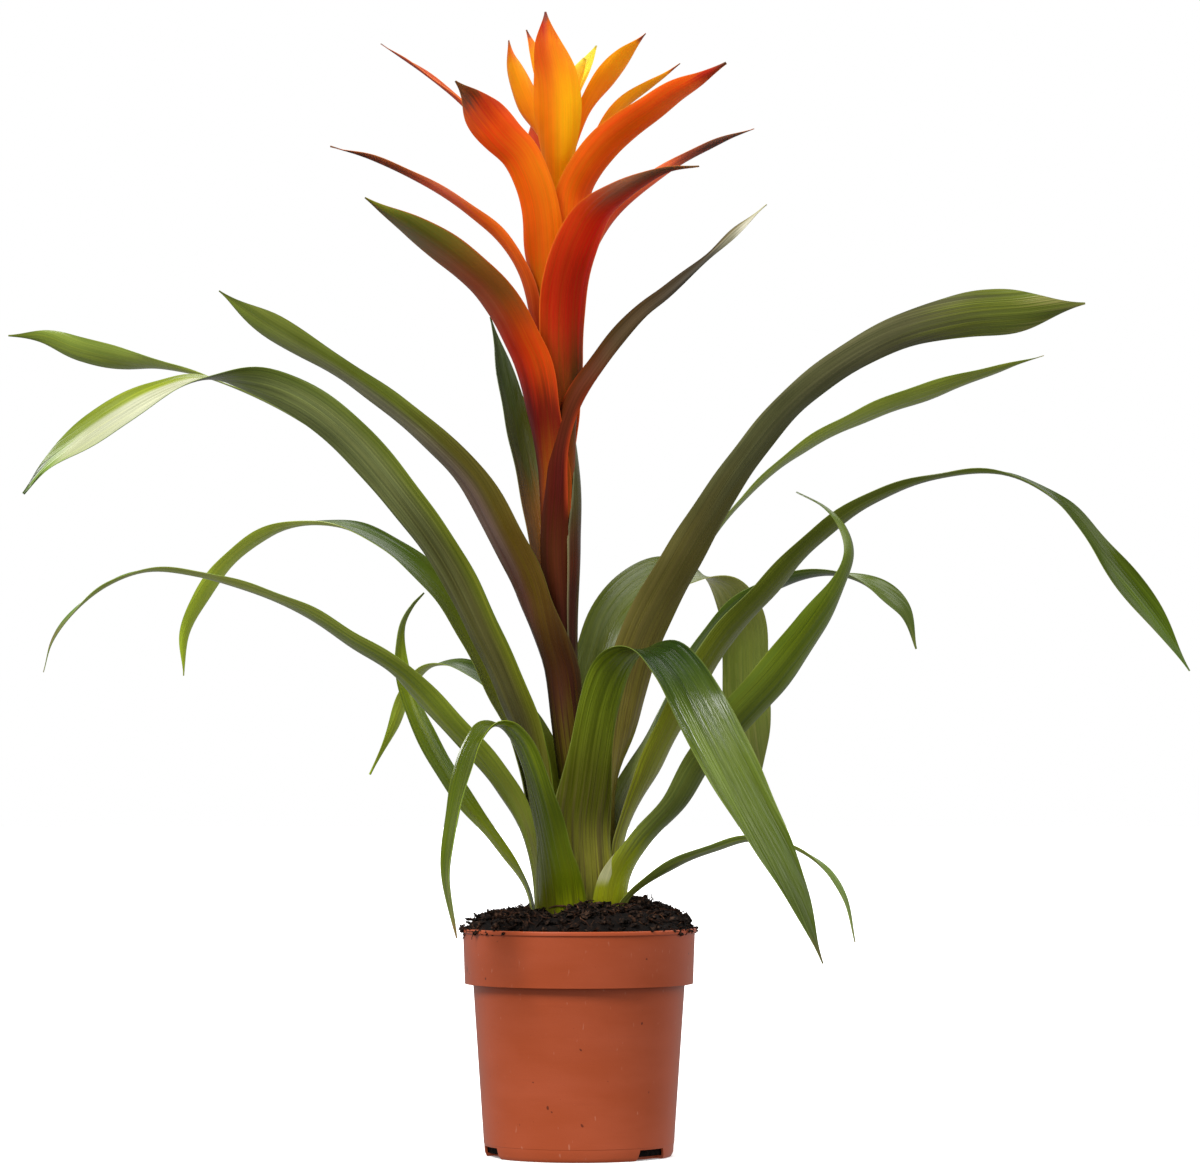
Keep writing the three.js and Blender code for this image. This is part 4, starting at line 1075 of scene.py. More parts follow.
ROSETTE = (
    Blade(
        "leaf_right_broad", Growth.ROSETTE, Finish.BROAD_OLIVE, Foot(CROWN, -22, 16.66, 36), 75.6,
        26,
        path=((21, -13, 222), (31, -28, 262), (55, -50, 308), (81, -74, 349), (109, -98, 381),
            (149, -120, 406), (185, -138, 415), (216, -147, 417), (242, -153, 420)),
        wide=(11, 11.5, 12, 12.5, 12.5, 12, 10.5, 8.8, 7.8, 7.8, 8.4, 10.5, 12, 0.5),
        bank=(0, -10, -30, -46, -52, -54, -56, -62, -70, -74, -70),
    ),
    Blade(
        "leaf_right_slim", Growth.ROSETTE, Finish.SLIM_GREEN, Foot(CROWN, 14, 15.16, 29), 81.6, 24,
        path=((18, 7, 215), (35, 14, 258), (56, 22, 296), (78, 32, 329), (111, 44, 360),
            (148, 56, 381), (196, 68, 399), (245, 78, 415)),
        wide=(9, 10, 10, 9, 7.5, 6.5, 8, 8.5, 7, 0.5),
        bank=(0, 0, 0, -4, -8, -14, -20, -28, -30, -10),
    ),
    Blade(
        "leaf_right_long", Growth.ROSETTE, Finish.LONG_GREEN, Foot(CROWN, -12, 20.74, 30), 52.6, 30,
        path=((36, -12, 196), (54, -17, 232), (72, -21, 262), (93, -26, 285), (117, -30, 311),
            (146, -34, 332), (180, -39, 344), (214, -46, 345), (243, -51, 329), (266, -55, 300),
            (287, -58, 273), (304, -60, 246)),
        wide=(12, 12.5, 12.5, 12, 11, 10, 8.5, 6.5, 5, 6.2, 7.2, 0.5),
        bank=(0, 0, -18, -28, -28, -24, -20, -6, 4, 36, 66, 60),
    ),
    Blade(
        "leaf_right_curled", Growth.ROSETTE, Finish.CURLED_GREEN, Foot(CROWN, -46, 22.94, 32), 16.6,
        34,
        path=((20, -24, 143), (31, -33, 161), (48, -41, 180), (61, -48, 202), (78, -54, 222),
            (97, -58, 243), (115, -60, 267), (129, -60, 288), (135, -58, 305), (132, -54, 318),
            (123, -49, 328), (109, -44, 336)),
        wide=(13, 10.5, 7.5, 7.5, 8.9, 11, 12.4, 11.6, 7, 4.6, 0.5),
        bank=(0, -4, -14, -22, -26, -26, -20, -10, 0, 0, 0),
    ),
    Blade(
        "leaf_back_broad", Growth.ROSETTE, Finish.BACK_GREEN, Foot(CROWN, 72, 17.26, 26), 95.6, 26,
        path=((6, 20, 236), (11, 25, 257), (17, 31, 274), (28, 39, 288), (44, 50, 298),
            (63, 61, 300), (75, 70, 295), (83, 77, 284), (87, 82, 272), (88, 86, 252),
            (89, 90, 230), (91, 92, 211), (95, 94, 183)),
        wide=(11, 12, 13, 13, 13, 13, 12.5, 12.5, 12.5, 12, 0.5),
        bank=(0, 0, 0, 4, 14, 24, 0, -55, -82, -84, -84),
    ),
    Blade(
        "leaf_right_back", Growth.ROSETTE, Finish.SHADED_GREEN, Foot(CROWN, 24, 18.92, 30), 64.6,
        28,
        path=((32, 10, 204), (46, 16, 234), (61, 23, 259), (81, 33, 281), (106, 43, 294),
            (131, 52, 299), (152, 59, 294), (170, 64, 281), (177, 68, 260)),
        wide=(9, 9.5, 9.5, 9.5, 9.5, 9, 8.5, 8, 7, 6.5, 0.5),
        bank=(0, 0, 0, -10, -24, -36, -40, -34, 0, 58, 80),
    ),
    Blade(
        "leaf_right_low", Growth.ROSETTE, Finish.FRESH_GREEN, Foot(CROWN, -34, 25.1, 9), 6.6, 30,
        path=((22, -15, 127), (29, -21, 136), (48, -33, 149), (67, -42, 157), (85, -49, 162),
            (105, -56, 159), (121, -61, 149), (132, -64, 133), (137, -66, 111)),
        wide=(4.4, 4.8, 5.4, 5.8, 5.6, 5.2, 4.6, 3.4, 0.5),
        bank=(0, 0, -10, -14, -14, -10, 0, 6, 8),
    ),
    Blade(
        "leaf_front_broad", Growth.ROSETTE, Finish.FRONT_GREEN, Foot(CROWN, -82, 21.74, 36), 62.6,
        26,
        path=((4, -25, 190), (7, -27, 212), (11, -31, 232), (17, -38, 248), (26, -49, 257),
            (38, -63, 257), (49, -77, 246), (59, -91, 228), (72, -103, 202), (86, -111, 175),
            (100, -117, 148), (110, -121, 125), (118, -124, 103)),
        wide=(14, 13, 11.5, 11, 11.5, 13, 14, 14.5, 11.8, 7.8, 0.5),
        bank=(0, 0, 0, 4, 20, 50, 64, 62, 54, 44, 30),
    ),
    Blade(
        "leaf_front_left", Growth.ROSETTE, Finish.MOSS_GREEN, Foot(CROWN, -116, 24.04, 36), 16.6,
        32,
        path=((-12, -33, 147), (-15, -40, 165), (-19, -47, 182), (-24, -53, 198), (-30, -59, 212),
            (-37, -64, 219), (-45, -70, 219), (-52, -75, 210), (-57, -79, 195), (-61, -82, 178),
            (-64, -85, 160), (-65, -87, 142), (-60, -89, 114)),
        wide=(15, 14, 12.5, 11.5, 10.5, 10, 9.5, 9, 8, 5.5, 0.5),
        bank=(0, -8, -14, -20, -24, -24, -20, -14, -10, -6, 0),
    ),
    Blade(
        "leaf_left_hooked", Growth.ROSETTE, Finish.HOOKED_GREEN, Foot(CROWN, 173, 23.1, 16), 6.6,
        30,
        path=((-27, 5, 136), (-42, 8, 159), (-62, 11, 185), (-78, 14, 212), (-88, 16, 235),
            (-92, 18, 255), (-91, 20, 271), (-86, 22, 281), (-80, 24, 288)),
        wide=(6, 6.4, 7, 7.5, 7.5, 7, 5.5, 3.4, 0.5),
        bank=(0, 0, -16, -30, -40, -44, -40, -30, -20),
    ),
    Blade(
        "leaf_left_short", Growth.ROSETTE, Finish.BRIGHT_GREEN, Foot(CROWN, 114, 21.38, 28), 68.6,
        28,
        path=((-21, 25, 213), (-34, 32, 231), (-49, 42, 245), (-65, 52, 252), (-80, 60, 250),
            (-90, 66, 238), (-98, 70, 218), (-110, 74, 194)),
        wide=(10, 9, 8, 7.5, 7, 6.5, 6, 4.5, 0.5),
        bank=(0, 0, -6, -10, -4, 10, 36, 50, 50),
    ),
    Blade(
        "leaf_left_long", Growth.ROSETTE, Finish.FINE_GREEN, Foot(CROWN, 200, 21.64, 24), 40.6, 30,
        path=((-32, -11, 178), (-47, -17, 200), (-68, -24, 223), (-90, -32, 246), (-115, -39, 262),
            (-139, -46, 277), (-164, -53, 287), (-190, -60, 294), (-214, -66, 296),
            (-233, -72, 289), (-249, -77, 276), (-260, -81, 260), (-264, -84, 245)),
        wide=(10, 10.5, 10.5, 10, 9, 8.5, 8, 6.5, 5.5, 4.5, 0.5),
        bank=(0, 0, 16, 24, 24, 16, 10, 4, 0, 0, 0),
    ),
    Blade(
        "leaf_left_arch", Growth.ROSETTE, Finish.BRIGHT_GREEN, Foot(CROWN, 160, 19.98, 27), 63.6,
        30,
        path=((-30, 13, 207), (-42, 18, 235), (-55, 24, 263), (-72, 31, 290), (-94, 38, 310),
            (-119, 45, 323), (-146, 52, 325), (-167, 58, 318), (-185, 63, 304), (-198, 67, 287),
            (-207, 70, 268), (-208, 72, 246)),
        wide=(10, 10, 10, 9.5, 9.5, 9.5, 9.5, 8.5, 7.5, 6, 0.5),
        bank=(0, 0, -6, -14, -24, -28, -20, 0, 18, 26, 30),
    ),
    Blade(
        "leaf_left_broad", Growth.ROSETTE, Finish.TWO_TONE_GREEN, Foot(CROWN, 212, 18.32, 34), 70.6,
        26,
        path=((-25, -13, 209), (-34, -20, 235), (-47, -29, 264), (-65, -41, 300), (-87, -54, 331),
            (-114, -66, 362), (-138, -76, 380), (-163, -84, 389), (-188, -92, 389),
            (-207, -98, 382), (-225, -104, 371), (-243, -110, 358), (-260, -114, 344),
            (-270, -116, 331)),
        wide=(11, 12, 11.5, 10.5, 10, 10, 10.5, 9.5, 8, 9.5, 0.5),
        bank=(0, 0, 10, 22, 32, 42, 52, 44, -34, -58, -50),
    ),
    Blade(
        "leaf_left_tall", Growth.ROSETTE, Finish.FINE_GREEN, Foot(CROWN, 165, 15.46, 32), 85.6, 26,
        path=((-27, 9, 220), (-36, 14, 246), (-48, 20, 276), (-66, 28, 308), (-88, 37, 334),
            (-113, 46, 356), (-140, 55, 376), (-167, 62, 391), (-193, 68, 402), (-218, 74, 409),
            (-241, 80, 413), (-265, 86, 419), (-284, 92, 426), (-303, 96, 427)),
        wide=(10, 11, 11, 11, 10.5, 10, 9.5, 8, 5.5, 3, 2.6, 7.4, 7.2, 0.5),
        bank=(0, 0, 6, 10, 14, 16, 14, 8, 10, 54, 60),
    ),
)


STALK_BLADES = (
    Blade(
        "stalk_leaf_left", Growth.STALK_LEAF, Finish.BROWN_SHEATH, Foot(192, 215, 6.2, 128), 52, 30,
        path=((-20, -10, 270), (-27, -15, 293), (-39, -22, 317), (-53, -30, 342), (-72, -38, 362),
            (-90, -43, 377), (-111, -49, 392), (-137, -55, 408), (-164, -60, 424),
            (-179, -63, 435)),
        wide=(10, 11, 11.5, 11.5, 11, 9.2, 7.8, 6.6, 6.2, 7.8, 0.5),
        bank=(0, 0, 10, 22, 30, 34, 34, 34, 34),
    ),
    Blade(
        "stalk_leaf_back", Growth.STALK_LEAF, Finish.STRIP_GREEN, Foot(211, 145, 5.4, 90), 60, 32,
        path=((-20.5, 14, 315), (-26, 22, 345), (-32, 30, 374), (-39, 38, 403), (-46, 45, 432)),
        wide=(9, 10.5, 12, 13, 12.5, 10, 0.5),
        bank=(0, 0, 2, 0, -2, -2, 0),
    ),
    Blade(
        "stalk_leaf_right", Growth.STALK_LEAF, Finish.RUSSET_STRIP, Foot(232, -2, 6.0, 66), 80, 34,
        path=((-0.5, 3, 342), (-2, 8, 358), (-5, 20, 380), (-7, 38, 403)),
        wide=(8, 8, 8, 7.5, 7, 5, 0.5),
        bank=(0, 0, 0, -4, -6, -6, 0),
    ),
    Blade(
        "bract_right_slim", Growth.LOW_BRACT, Finish.MAROON, Foot(252, -122, 6.5, 58), 60, 40,
        path=((-12.6, -11, 340), (-10.6, -13, 362), (-3.6, -17, 384), (9, -20, 403), (19, -23, 416),
            (32, -27, 429), (43, -31, 437), (54, -34, 446), (65, -37, 455), (77, -40, 466),
            (87, -43, 474), (94, -45, 480)),
        wide=(8, 8, 8, 7.5, 7, 6.5, 6.2, 6, 5.6, 5, 4.2, 3, 1.7, 2.9, 0.5),
        bank=(0, 0, 0, 0, 0, 0, 0, 6, 20, -10, -30),
    ),
    Blade(
        "bract_left_low", Growth.LOW_BRACT, Finish.GREEN_TIPPED, Foot(272, 220, 6.4, 86), 70, 36,
        path=((-19, -10, 374), (-24, -17, 402), (-30, -22, 415), (-37, -28, 428), (-45, -33, 439),
            (-56, -37, 449), (-69, -41, 459), (-83, -45, 468), (-98, -48, 477), (-107, -50, 483)),
        wide=(9, 10, 11, 12, 12.5, 12, 11, 9, 0.5),
        bank=(0, 0, 0, 8, 14, 20, 24, 24, 20),
    ),
    Blade(
        "bract_back_low", Growth.LOW_BRACT, Finish.SCARLET, Foot(290, 85, 5.3, 50), 50, 36,
        path=((-10, 16, 372), (-8, 26, 396), (-5, 38, 416), (-2, 50, 430)),
        wide=(9, 10, 11, 11.5, 10.5, 7.5, 0.5),
        bank=(0, 0, 0, 0, 0, 0, 0),
    ),
    Blade(
        "bract_right_front", Growth.LOW_BRACT, Finish.SCARLET, Foot(284, -62, 3.8, 95), 77, 42,
        path=((-8, -11, 402), (-8, -15, 427), (-6, -21, 445), (-1, -28, 461), (8, -35, 477),
            (20, -41, 486), (32, -46, 492), (45, -50, 497), (60, -54, 498)),
        wide=(9, 9.6, 10.4, 12, 12.8, 13.4, 11.6, 5.6, 0.5),
        bank=(0, 0, 0, -6, -10, -12, -10, 0, 0),
    ),
    Blade(
        "bract_left_slim", Growth.HEAD_BRACT, Finish.SLIM_RED, Foot(350, 188, 5.3, 75), 44, 46,
        path=((-23, -5, 428), (-28, -9, 449), (-40, -15, 467), (-56, -21, 480), (-79, -27, 494),
            (-105, -33, 505), (-125, -38, 510)),
        wide=(8, 8, 7.5, 7, 6.5, 6, 5, 4, 0.5),
        bank=(0, 0, 10, 20, 26, 28, 26, 20, 0),
    ),
    Blade(
        "bract_right_back", Growth.HEAD_BRACT, Finish.FAR_RED, Foot(366, 25, 5.3, 80), 42, 42,
        path=((-1, 9, 438), (5, 15, 459), (16, 21, 480), (32, 27, 497), (48, 33, 509),
            (69, 39, 521), (91, 44, 530)),
        wide=(8, 8.5, 9, 8.5, 7.6, 6.2, 4.8, 3.2, 0.5),
        bank=(0, 0, 0, -14, -28, -40, -46, -44, -20),
    ),
    Blade(
        "bract_left_front", Growth.HEAD_BRACT, Finish.ORANGE, Foot(384, 242, 5.3, 95), 42, 40,
        path=((-18, -14, 462), (-20, -20, 481), (-24, -25, 495), (-30, -29, 507), (-39, -33, 516),
            (-48, -37, 526), (-55, -41, 535), (-62, -44, 542)),
        wide=(10, 11.5, 13, 13.2, 11.3, 10.4, 10.9, 10.9, 0.5),
        bank=(0, 0, 4, 8, 12, 18, 24, 28, 24),
    ),
    Blade(
        "bract_right_high", Growth.HEAD_BRACT, Finish.RED_ORANGE, Foot(402, -44, 5.3, 92), 42, 38,
        path=((-4, -12, 472), (-2, -14, 490), (4, -17, 502), (13, -20, 513), (24, -23, 522),
            (36, -27, 530), (48, -31, 538), (60, -34, 544), (67, -36, 548), (74, -38, 552)),
        wide=(9, 9.5, 10.5, 11, 10.5, 10, 8.6, 6.4, 0.5),
        bank=(0, 0, -6, -16, -22, -22, -22, -20, -18),
    ),
    Blade(
        "bract_left_back", Growth.HEAD_BRACT, Finish.SLIM_ORANGE, Foot(420, 150, 5.2, 75), 38, 44,
        path=((-24, 10, 482), (-33, 16, 504), (-45, 22, 523), (-60, 29, 541), (-80, 36, 558),
            (-103, 43, 574)),
        wide=(8, 8.5, 8.5, 8, 7, 6, 5, 3.5, 0.5),
        bank=(0, 0, 4, 8, 10, 10, 8, 4, 0),
    ),
    Blade(
        "bract_back_high", Growth.HEAD_BRACT, Finish.RED_ORANGE, Foot(436, 100, 5.1, 66), 36, 38,
        path=((-13, 14, 494), (-16, 23, 511), (-20, 34, 525), (-24, 45, 537)),
        wide=(9, 10, 12, 12.5, 12, 8, 0.5),
        bank=(0, 0, 0, 0, 0, 0, 0),
    ),
    Blade(
        "bract_right_gold", Growth.HEAD_BRACT, Finish.GOLD, Foot(452, 18, 5.0, 70), 32, 36,
        path=((3, 6, 507), (8, 7, 518), (14.5, 9, 528.5), (24, 12, 539), (35, 15, 547.5),
            (45, 17, 554.5), (52, 18, 560)),
        wide=(7, 8.4, 9.6, 9.4, 8, 5.5, 0.5),
        bank=(0, 0, -10, -20, -28, -30, -16),
    ),
    Blade(
        "bract_front_gold", Growth.HEAD_BRACT, Finish.FLAME, Foot(467, -95, 4.9, 86), 26, 40,
        path=((-11, -13, 510), (-11, -17, 528), (-12, -19, 547), (-16, -19, 565), (-17, -17, 581)),
        wide=(9, 10.5, 12, 13, 13.4, 12.1, 7.6, 0.5),
        bank=(0, 0, 0, 0, 0, 0, 0, 0),
    ),
    Blade(
        "bract_left_gold", Growth.HEAD_BRACT, Finish.AMBER, Foot(481, 180, 4.8, 75), 18, 34,
        path=((-17, 2, 514), (-23, 4, 530), (-30, 7, 546), (-35, 10, 560), (-36, 12, 571)),
        wide=(6.5, 7.5, 8.5, 9, 8.5, 6, 0.5),
        bank=(0, 0, 18, 36, 44, 40, 20),
    ),
    Blade(
        "bract_right_small", Growth.HEAD_BRACT, Finish.GOLD, Foot(494, -8, 4.6, 75), 16, 34,
        path=((0, 0, 521), (5, -1, 535), (13, -2, 548), (23, -3, 560), (34, -5, 572)),
        wide=(6.5, 7.5, 9, 10, 10, 7, 0.5),
        bank=(0, 0, -8, -18, -24, -26, -20),
    ),
    Blade(
        "bract_back_small", Growth.HEAD_BRACT, Finish.GOLD, Foot(506, 120, 4.4, 70), 14, 34,
        path=((-13, 8, 532), (-17, 11, 548), (-22, 14, 563), (-27, 16, 577)),
        wide=(6, 6.5, 7, 7, 6, 4, 0.5),
        bank=(0, 0, 0, 0, 0, 0, 0),
    ),
    Blade(
        "floret_tall", Growth.HEAD_BRACT, Finish.LEMON, Foot(517.4, 60, 2.6, 60), 12, 34,
        path=((-2, 5, 543), (3, 8, 556), (9, 10, 568)),
        wide=(2.6, 5.2, 7.4, 7.6, 4.8, 0.5),
        bank=(0, 0, 0, -6, -8, 0),
    ),
    Blade(
        "floret_low", Growth.HEAD_BRACT, Finish.LEMON, Foot(517.4, -60, 2.4, 60), 12, 34,
        path=((-4, -1, 541), (-1, 0, 551), (3, 1, 560)),
        wide=(2.4, 5.0, 7.0, 7.2, 4.6, 0.5),
        bank=(0, 0, 0, 0, 0, 0),
    ),
)


def spin_profile(name: str, outline: Outline, sides: int) -> bpy.types.Object:
    """Turn an outline about the Z axis into a closed body.

    Args:
        name: The object's name.
        outline: Radius and height in mm, from the axis at the bottom round to the axis at the top.
        sides: The number of sides of a turn.

    Returns:
        The new mesh object.
    """
    deselect()
    bpy.ops.mesh.primitive_plane_add(size=MM, location=(0, 0, 0))
    piece = bpy.context.object
    piece.name = name
    bpy.ops.object.mode_set(mode="EDIT")
    bpy.ops.mesh.select_all(action="SELECT")
    bpy.ops.mesh.merge(type="CENTER")
    here = Vector((0, 0, 0))
    for step, (radius, height) in enumerate(outline):
        there = Vector((radius * MM, 0, height * MM))
        if step == 0:
            bpy.ops.transform.translate(value=there - here)
        else:
            bpy.ops.mesh.extrude_region_move(TRANSFORM_OT_translate={"value": there - here})
        here = there
    bpy.ops.mesh.select_all(action="SELECT")
    bpy.ops.mesh.spin(steps=sides, angle=FULL_TURN, center=(0, 0, 0), axis=(0, 0, 1))
    bpy.ops.mesh.select_all(action="SELECT")
    bpy.ops.mesh.remove_doubles(threshold=MERGE_GAP)
    bpy.ops.mesh.normals_make_consistent(inside=False)
    bpy.ops.object.mode_set(mode="OBJECT")
    return piece


@dataclass(frozen=True)
class PotFinish:
    """Satin terracotta-coloured plastic with fine dark specks."""

    colour: str = "#a44824"
    pale: str = "#ab4e2c"
    cloud_stretch: Point = (1.0, 1.0, 2.4)
    cloud_scale: float = 22.0
    cloud_detail: float = 3.0
    cloud_span: tuple[float, float] = (0.3, 0.75)
    speck: str = "#4a2014"
    dots: Specks = (900.0, 2.0, 0.74, 0.8, 0.55)
    dirt: Specks = (240.0, 1.0, 0.765, 0.795, 0.75)
    worn: str = "#c98a70"
    worn_stretch: Point = (1.0, 1.0, 0.35)
    scuffs: Specks = (520.0, 1.0, 0.72, 0.8, 0.35)
    roughness: float = 0.4
    roughness_share: float = 0.16
    gloss: float = 0.42
    fine_scale: float = 1600.0
    fine_height: float = 0.5
    ring_stretch: Point = (30.0, 30.0, 420.0)
    ring_height: float = 0.7
    relief_strength: float = 0.3
    relief: float = 0.0002

    def dress(self) -> bpy.types.Material:
        """Make the material.

        Returns:
            The new material.
        """
        material, wiring, surface = new_material("terracotta_plastic")
        spot = wiring.place()
        clouds = wiring.noise(wiring.stretched(spot, self.cloud_stretch), self.cloud_scale,
                              self.cloud_detail)
        colour = wiring.mix(wiring.span(clouds, *self.cloud_span), linear(self.colour),
                            linear(self.pale))
        specks = wiring.math("MAXIMUM", wiring.specks(spot, self.dots),
                             wiring.specks(spot, self.dirt))
        colour = wiring.mix(specks, colour, linear(self.speck))
        scuffs = wiring.specks(wiring.stretched(spot, self.worn_stretch), self.scuffs)
        colour = wiring.mix(scuffs, colour, linear(self.worn))
        rough = wiring.math("MULTIPLY_ADD", clouds, self.roughness_share,
                            self.roughness - self.roughness_share / 2)
        fine = wiring.times(wiring.noise(spot, self.fine_scale), self.fine_height)
        rings = wiring.noise(wiring.stretched(spot, self.ring_stretch), 1.0)
        height = wiring.math("MULTIPLY_ADD", rings, self.ring_height, fine)
        wiring.feed(surface, {
            "Base Color": colour, "Roughness": rough, "Specular IOR Level": self.gloss,
            "Normal": wiring.bump(height, self.relief_strength, self.relief),
        })
        return material


@dataclass(frozen=True)
class Pot:
    """The thin-walled nursery pot. Sizes are in mm and angles in degrees."""

    height: float = 116.0
    rim_radius: float = 60.0
    collar_height: float = 29.1
    collar_foot_radius: float = 58.3
    body_top_radius: float = 54.0
    body_foot_radius: float = 48.0
    base_radius: float = 47.2
    base_edge: float = 2.0
    wall: float = 1.3
    floor: float = 1.6
    lip_height: float = 2.4
    lip_proud: float = 0.8
    chamfer: float = 0.4
    step: float = 0.8
    ring_height: float = 6.2
    ring_proud: float = 0.18
    ring_rise: float = 0.3
    sides: int = 192
    round_edge: float = 0.22
    round_steps: int = 2
    round_angle: float = 24.0
    smooth_angle: float = 35.0
    notch_directions: tuple[float, ...] = (-39.5, -160.0, 80.0)
    notch_depth: float = 5.0
    notch_height: float = 5.4
    notch_below: float = 1.0
    notch_top: float = 18.0
    notch_foot: float = 22.0
    notch_reach: float = 20.0
    finish: PotFinish = PotFinish()

    def body_radius(self, z: float) -> float:
        """The radius of the outer face at a height under the collar."""
        share = z / (self.height - self.collar_height)
        return self.body_foot_radius + (self.body_top_radius - self.body_foot_radius) * share

    def outline(self) -> Outline:
        """Draw the pot's closed outline.

        Returns:
            Radius and height, from the axis at its underside to the axis on its floor.
        """
        collar, lip = self.height - self.collar_height, self.height - self.lip_height
        top, ring = self.rim_radius - self.lip_proud, self.ring_height
        ring_radius = self.body_radius(ring)
        return (
            (0, 0), (self.base_radius, 0), (self.body_radius(self.base_edge), self.base_edge),
            (ring_radius, ring), (ring_radius + self.ring_proud, ring + self.ring_rise),
            (self.body_top_radius, collar), (self.collar_foot_radius, collar + self.step),
            (top, lip), (self.rim_radius, lip + self.chamfer),
            (self.rim_radius, self.height - self.chamfer),
            (self.rim_radius - self.chamfer, self.height), (top - self.wall, self.height),
            (self.collar_foot_radius - self.wall, collar + self.step + self.wall),
            (self.body_top_radius - self.wall, collar + self.step),
            (self.body_radius(self.floor) - self.wall, self.floor), (0, self.floor),
        )

    def cutter(self, direction: float) -> bpy.types.Object:
        """Make the block that cuts one drain notch.

        Args:
            direction: Where the notch is, in degrees.

        Returns:
            The cutting block.
        """
        deselect()
        inner, below = self.base_radius - self.notch_depth, self.notch_below
        bpy.ops.mesh.primitive_cube_add(size=1.0)
        block = bpy.context.object
        block.scale = (self.notch_reach * MM, self.notch_foot * MM,
                       (self.notch_height + below) * MM)
        block.location = ((inner + self.notch_reach / 2) * MM, 0,
                          (self.notch_height - below) / 2 * MM)
        bpy.ops.object.transform_apply(location=True, rotation=True, scale=True)
        for vertex in block.data.vertices:
            if vertex.co.z > 0:
                vertex.co.y *= self.notch_top / self.notch_foot
        block.rotation_euler.z = math.radians(direction)
        bpy.ops.object.transform_apply(location=False, rotation=True, scale=False)
        return block

    def make(self, slot: str) -> None:
        """Build, dress and hand over the pot.

        Args:
            slot: The record's material slot of the pot.
        """
        piece = spin_profile("pot", self.outline(), self.sides)
        for direction in self.notch_directions:
            block = self.cutter(direction)
            cut = piece.modifiers.new("notch", "BOOLEAN")
            cut.operation, cut.object, cut.solver = "DIFFERENCE", block, "EXACT"
            apply_all(piece)
            bpy.data.objects.remove(block)
        soft = piece.modifiers.new("edges", "BEVEL")
        soft.width, soft.segments = self.round_edge * MM, self.round_steps
        soft.limit_method, soft.angle_limit = "ANGLE", math.radians(self.round_angle)
        apply_all(piece)
        shade_smooth(piece, self.smooth_angle)
        piece.data.materials.clear()
        piece.data.materials.append(self.finish.dress())
        settle(piece, "pot_shell", slot, "pot")


@dataclass(frozen=True)
class PeatFinish:
    """Rough dark peat with paler fibres."""

    dark: str
    light: str
    grain_scale: float = 420.0
    grain_detail: float = 4.0
    grain_rough: float = 0.65
    grain_span: tuple[float, float] = (0.44, 0.74)
    lump_scale: float = 90.0
    lump_detail: float = 3.0
    lump_span: tuple[float, float, float] = (0.35, 0.7, 0.3)
    roughness: float = 0.95
    gloss: float = 0.2
    relief_strength: float = 0.9
    relief: float = 0.0012

    def dress(self, name: str) -> bpy.types.Material:
        """Make the material.

        Args:
            name: The material's name.

        Returns:
            The new material.
        """
        material, wiring, surface = new_material(name)
        spot = wiring.place()
        grains = wiring.noise(spot, self.grain_scale, self.grain_detail, self.grain_rough)
        lumps = wiring.noise(spot, self.lump_scale, self.lump_detail)
        share = wiring.times(wiring.span(grains, *self.grain_span),
                             wiring.span(lumps, *self.lump_span))
        wiring.feed(surface, {
            "Base Color": wiring.mix(share, linear(self.dark), linear(self.light)),
            "Roughness": self.roughness, "Specular IOR Level": self.gloss,
            "Normal": wiring.bump(grains, self.relief_strength, self.relief),
        })
        return material


class PeatLook(Enum):
    """The looks of the peat and of its loose bits, dark and light."""

    PEAT = PeatFinish("#0b0705", "#2c1c13")
    PEAT_CRUMB = PeatFinish("#100906", "#5e4332")
    BARK_CHIP = PeatFinish("#120a06", "#54341f")
    PEAT_FIBRE = PeatFinish("#2e1a10", "#7e553a")

    def hand_over(self, piece: bpy.types.Object, name: str, slot: str, *nodes: str) -> None:
        """Dress a piece in this look and settle it.

        Args:
            piece: The finished mesh object.
            name: Its name in the scene.
            slot: The record's material slot of the soil.
            *nodes: The CAD nodes that it stands for.
        """
        piece.data.materials.append(self.value.dress(self.name.lower()))
        settle(piece, name, slot, *nodes)


@dataclass(frozen=True)
class Crumb:
    """A crumb of peat, about one unit wide."""

    forms: int = 8
    radius: float = 0.5
    fineness: float = 3.4
    apart: float = 5.0
    ragged: float = 0.9
    slimmer: float = 0.09
    slim_forms: int = 5
    flat: float = 0.62
    flatter: float = 0.05
    flat_forms: int = 4

    def model(self, number: int) -> bpy.types.Object:
        """Model one crumb.

        Args:
            number: The number of its form.

        Returns:
            The new mesh object.
        """
        deselect()
        bpy.ops.mesh.primitive_ico_sphere_add(subdivisions=2, radius=self.radius)
        piece = bpy.context.object
        for vertex in piece.data.vertices:
            shift = Vector((number * self.apart, 0, 0))
            vertex.co *= 1 + self.ragged * noise.noise(vertex.co * self.fineness + shift)
            vertex.co.y *= 1 - self.slimmer * (number % self.slim_forms)
            vertex.co.z *= self.flat - self.flatter * (number % self.flat_forms)
        return piece


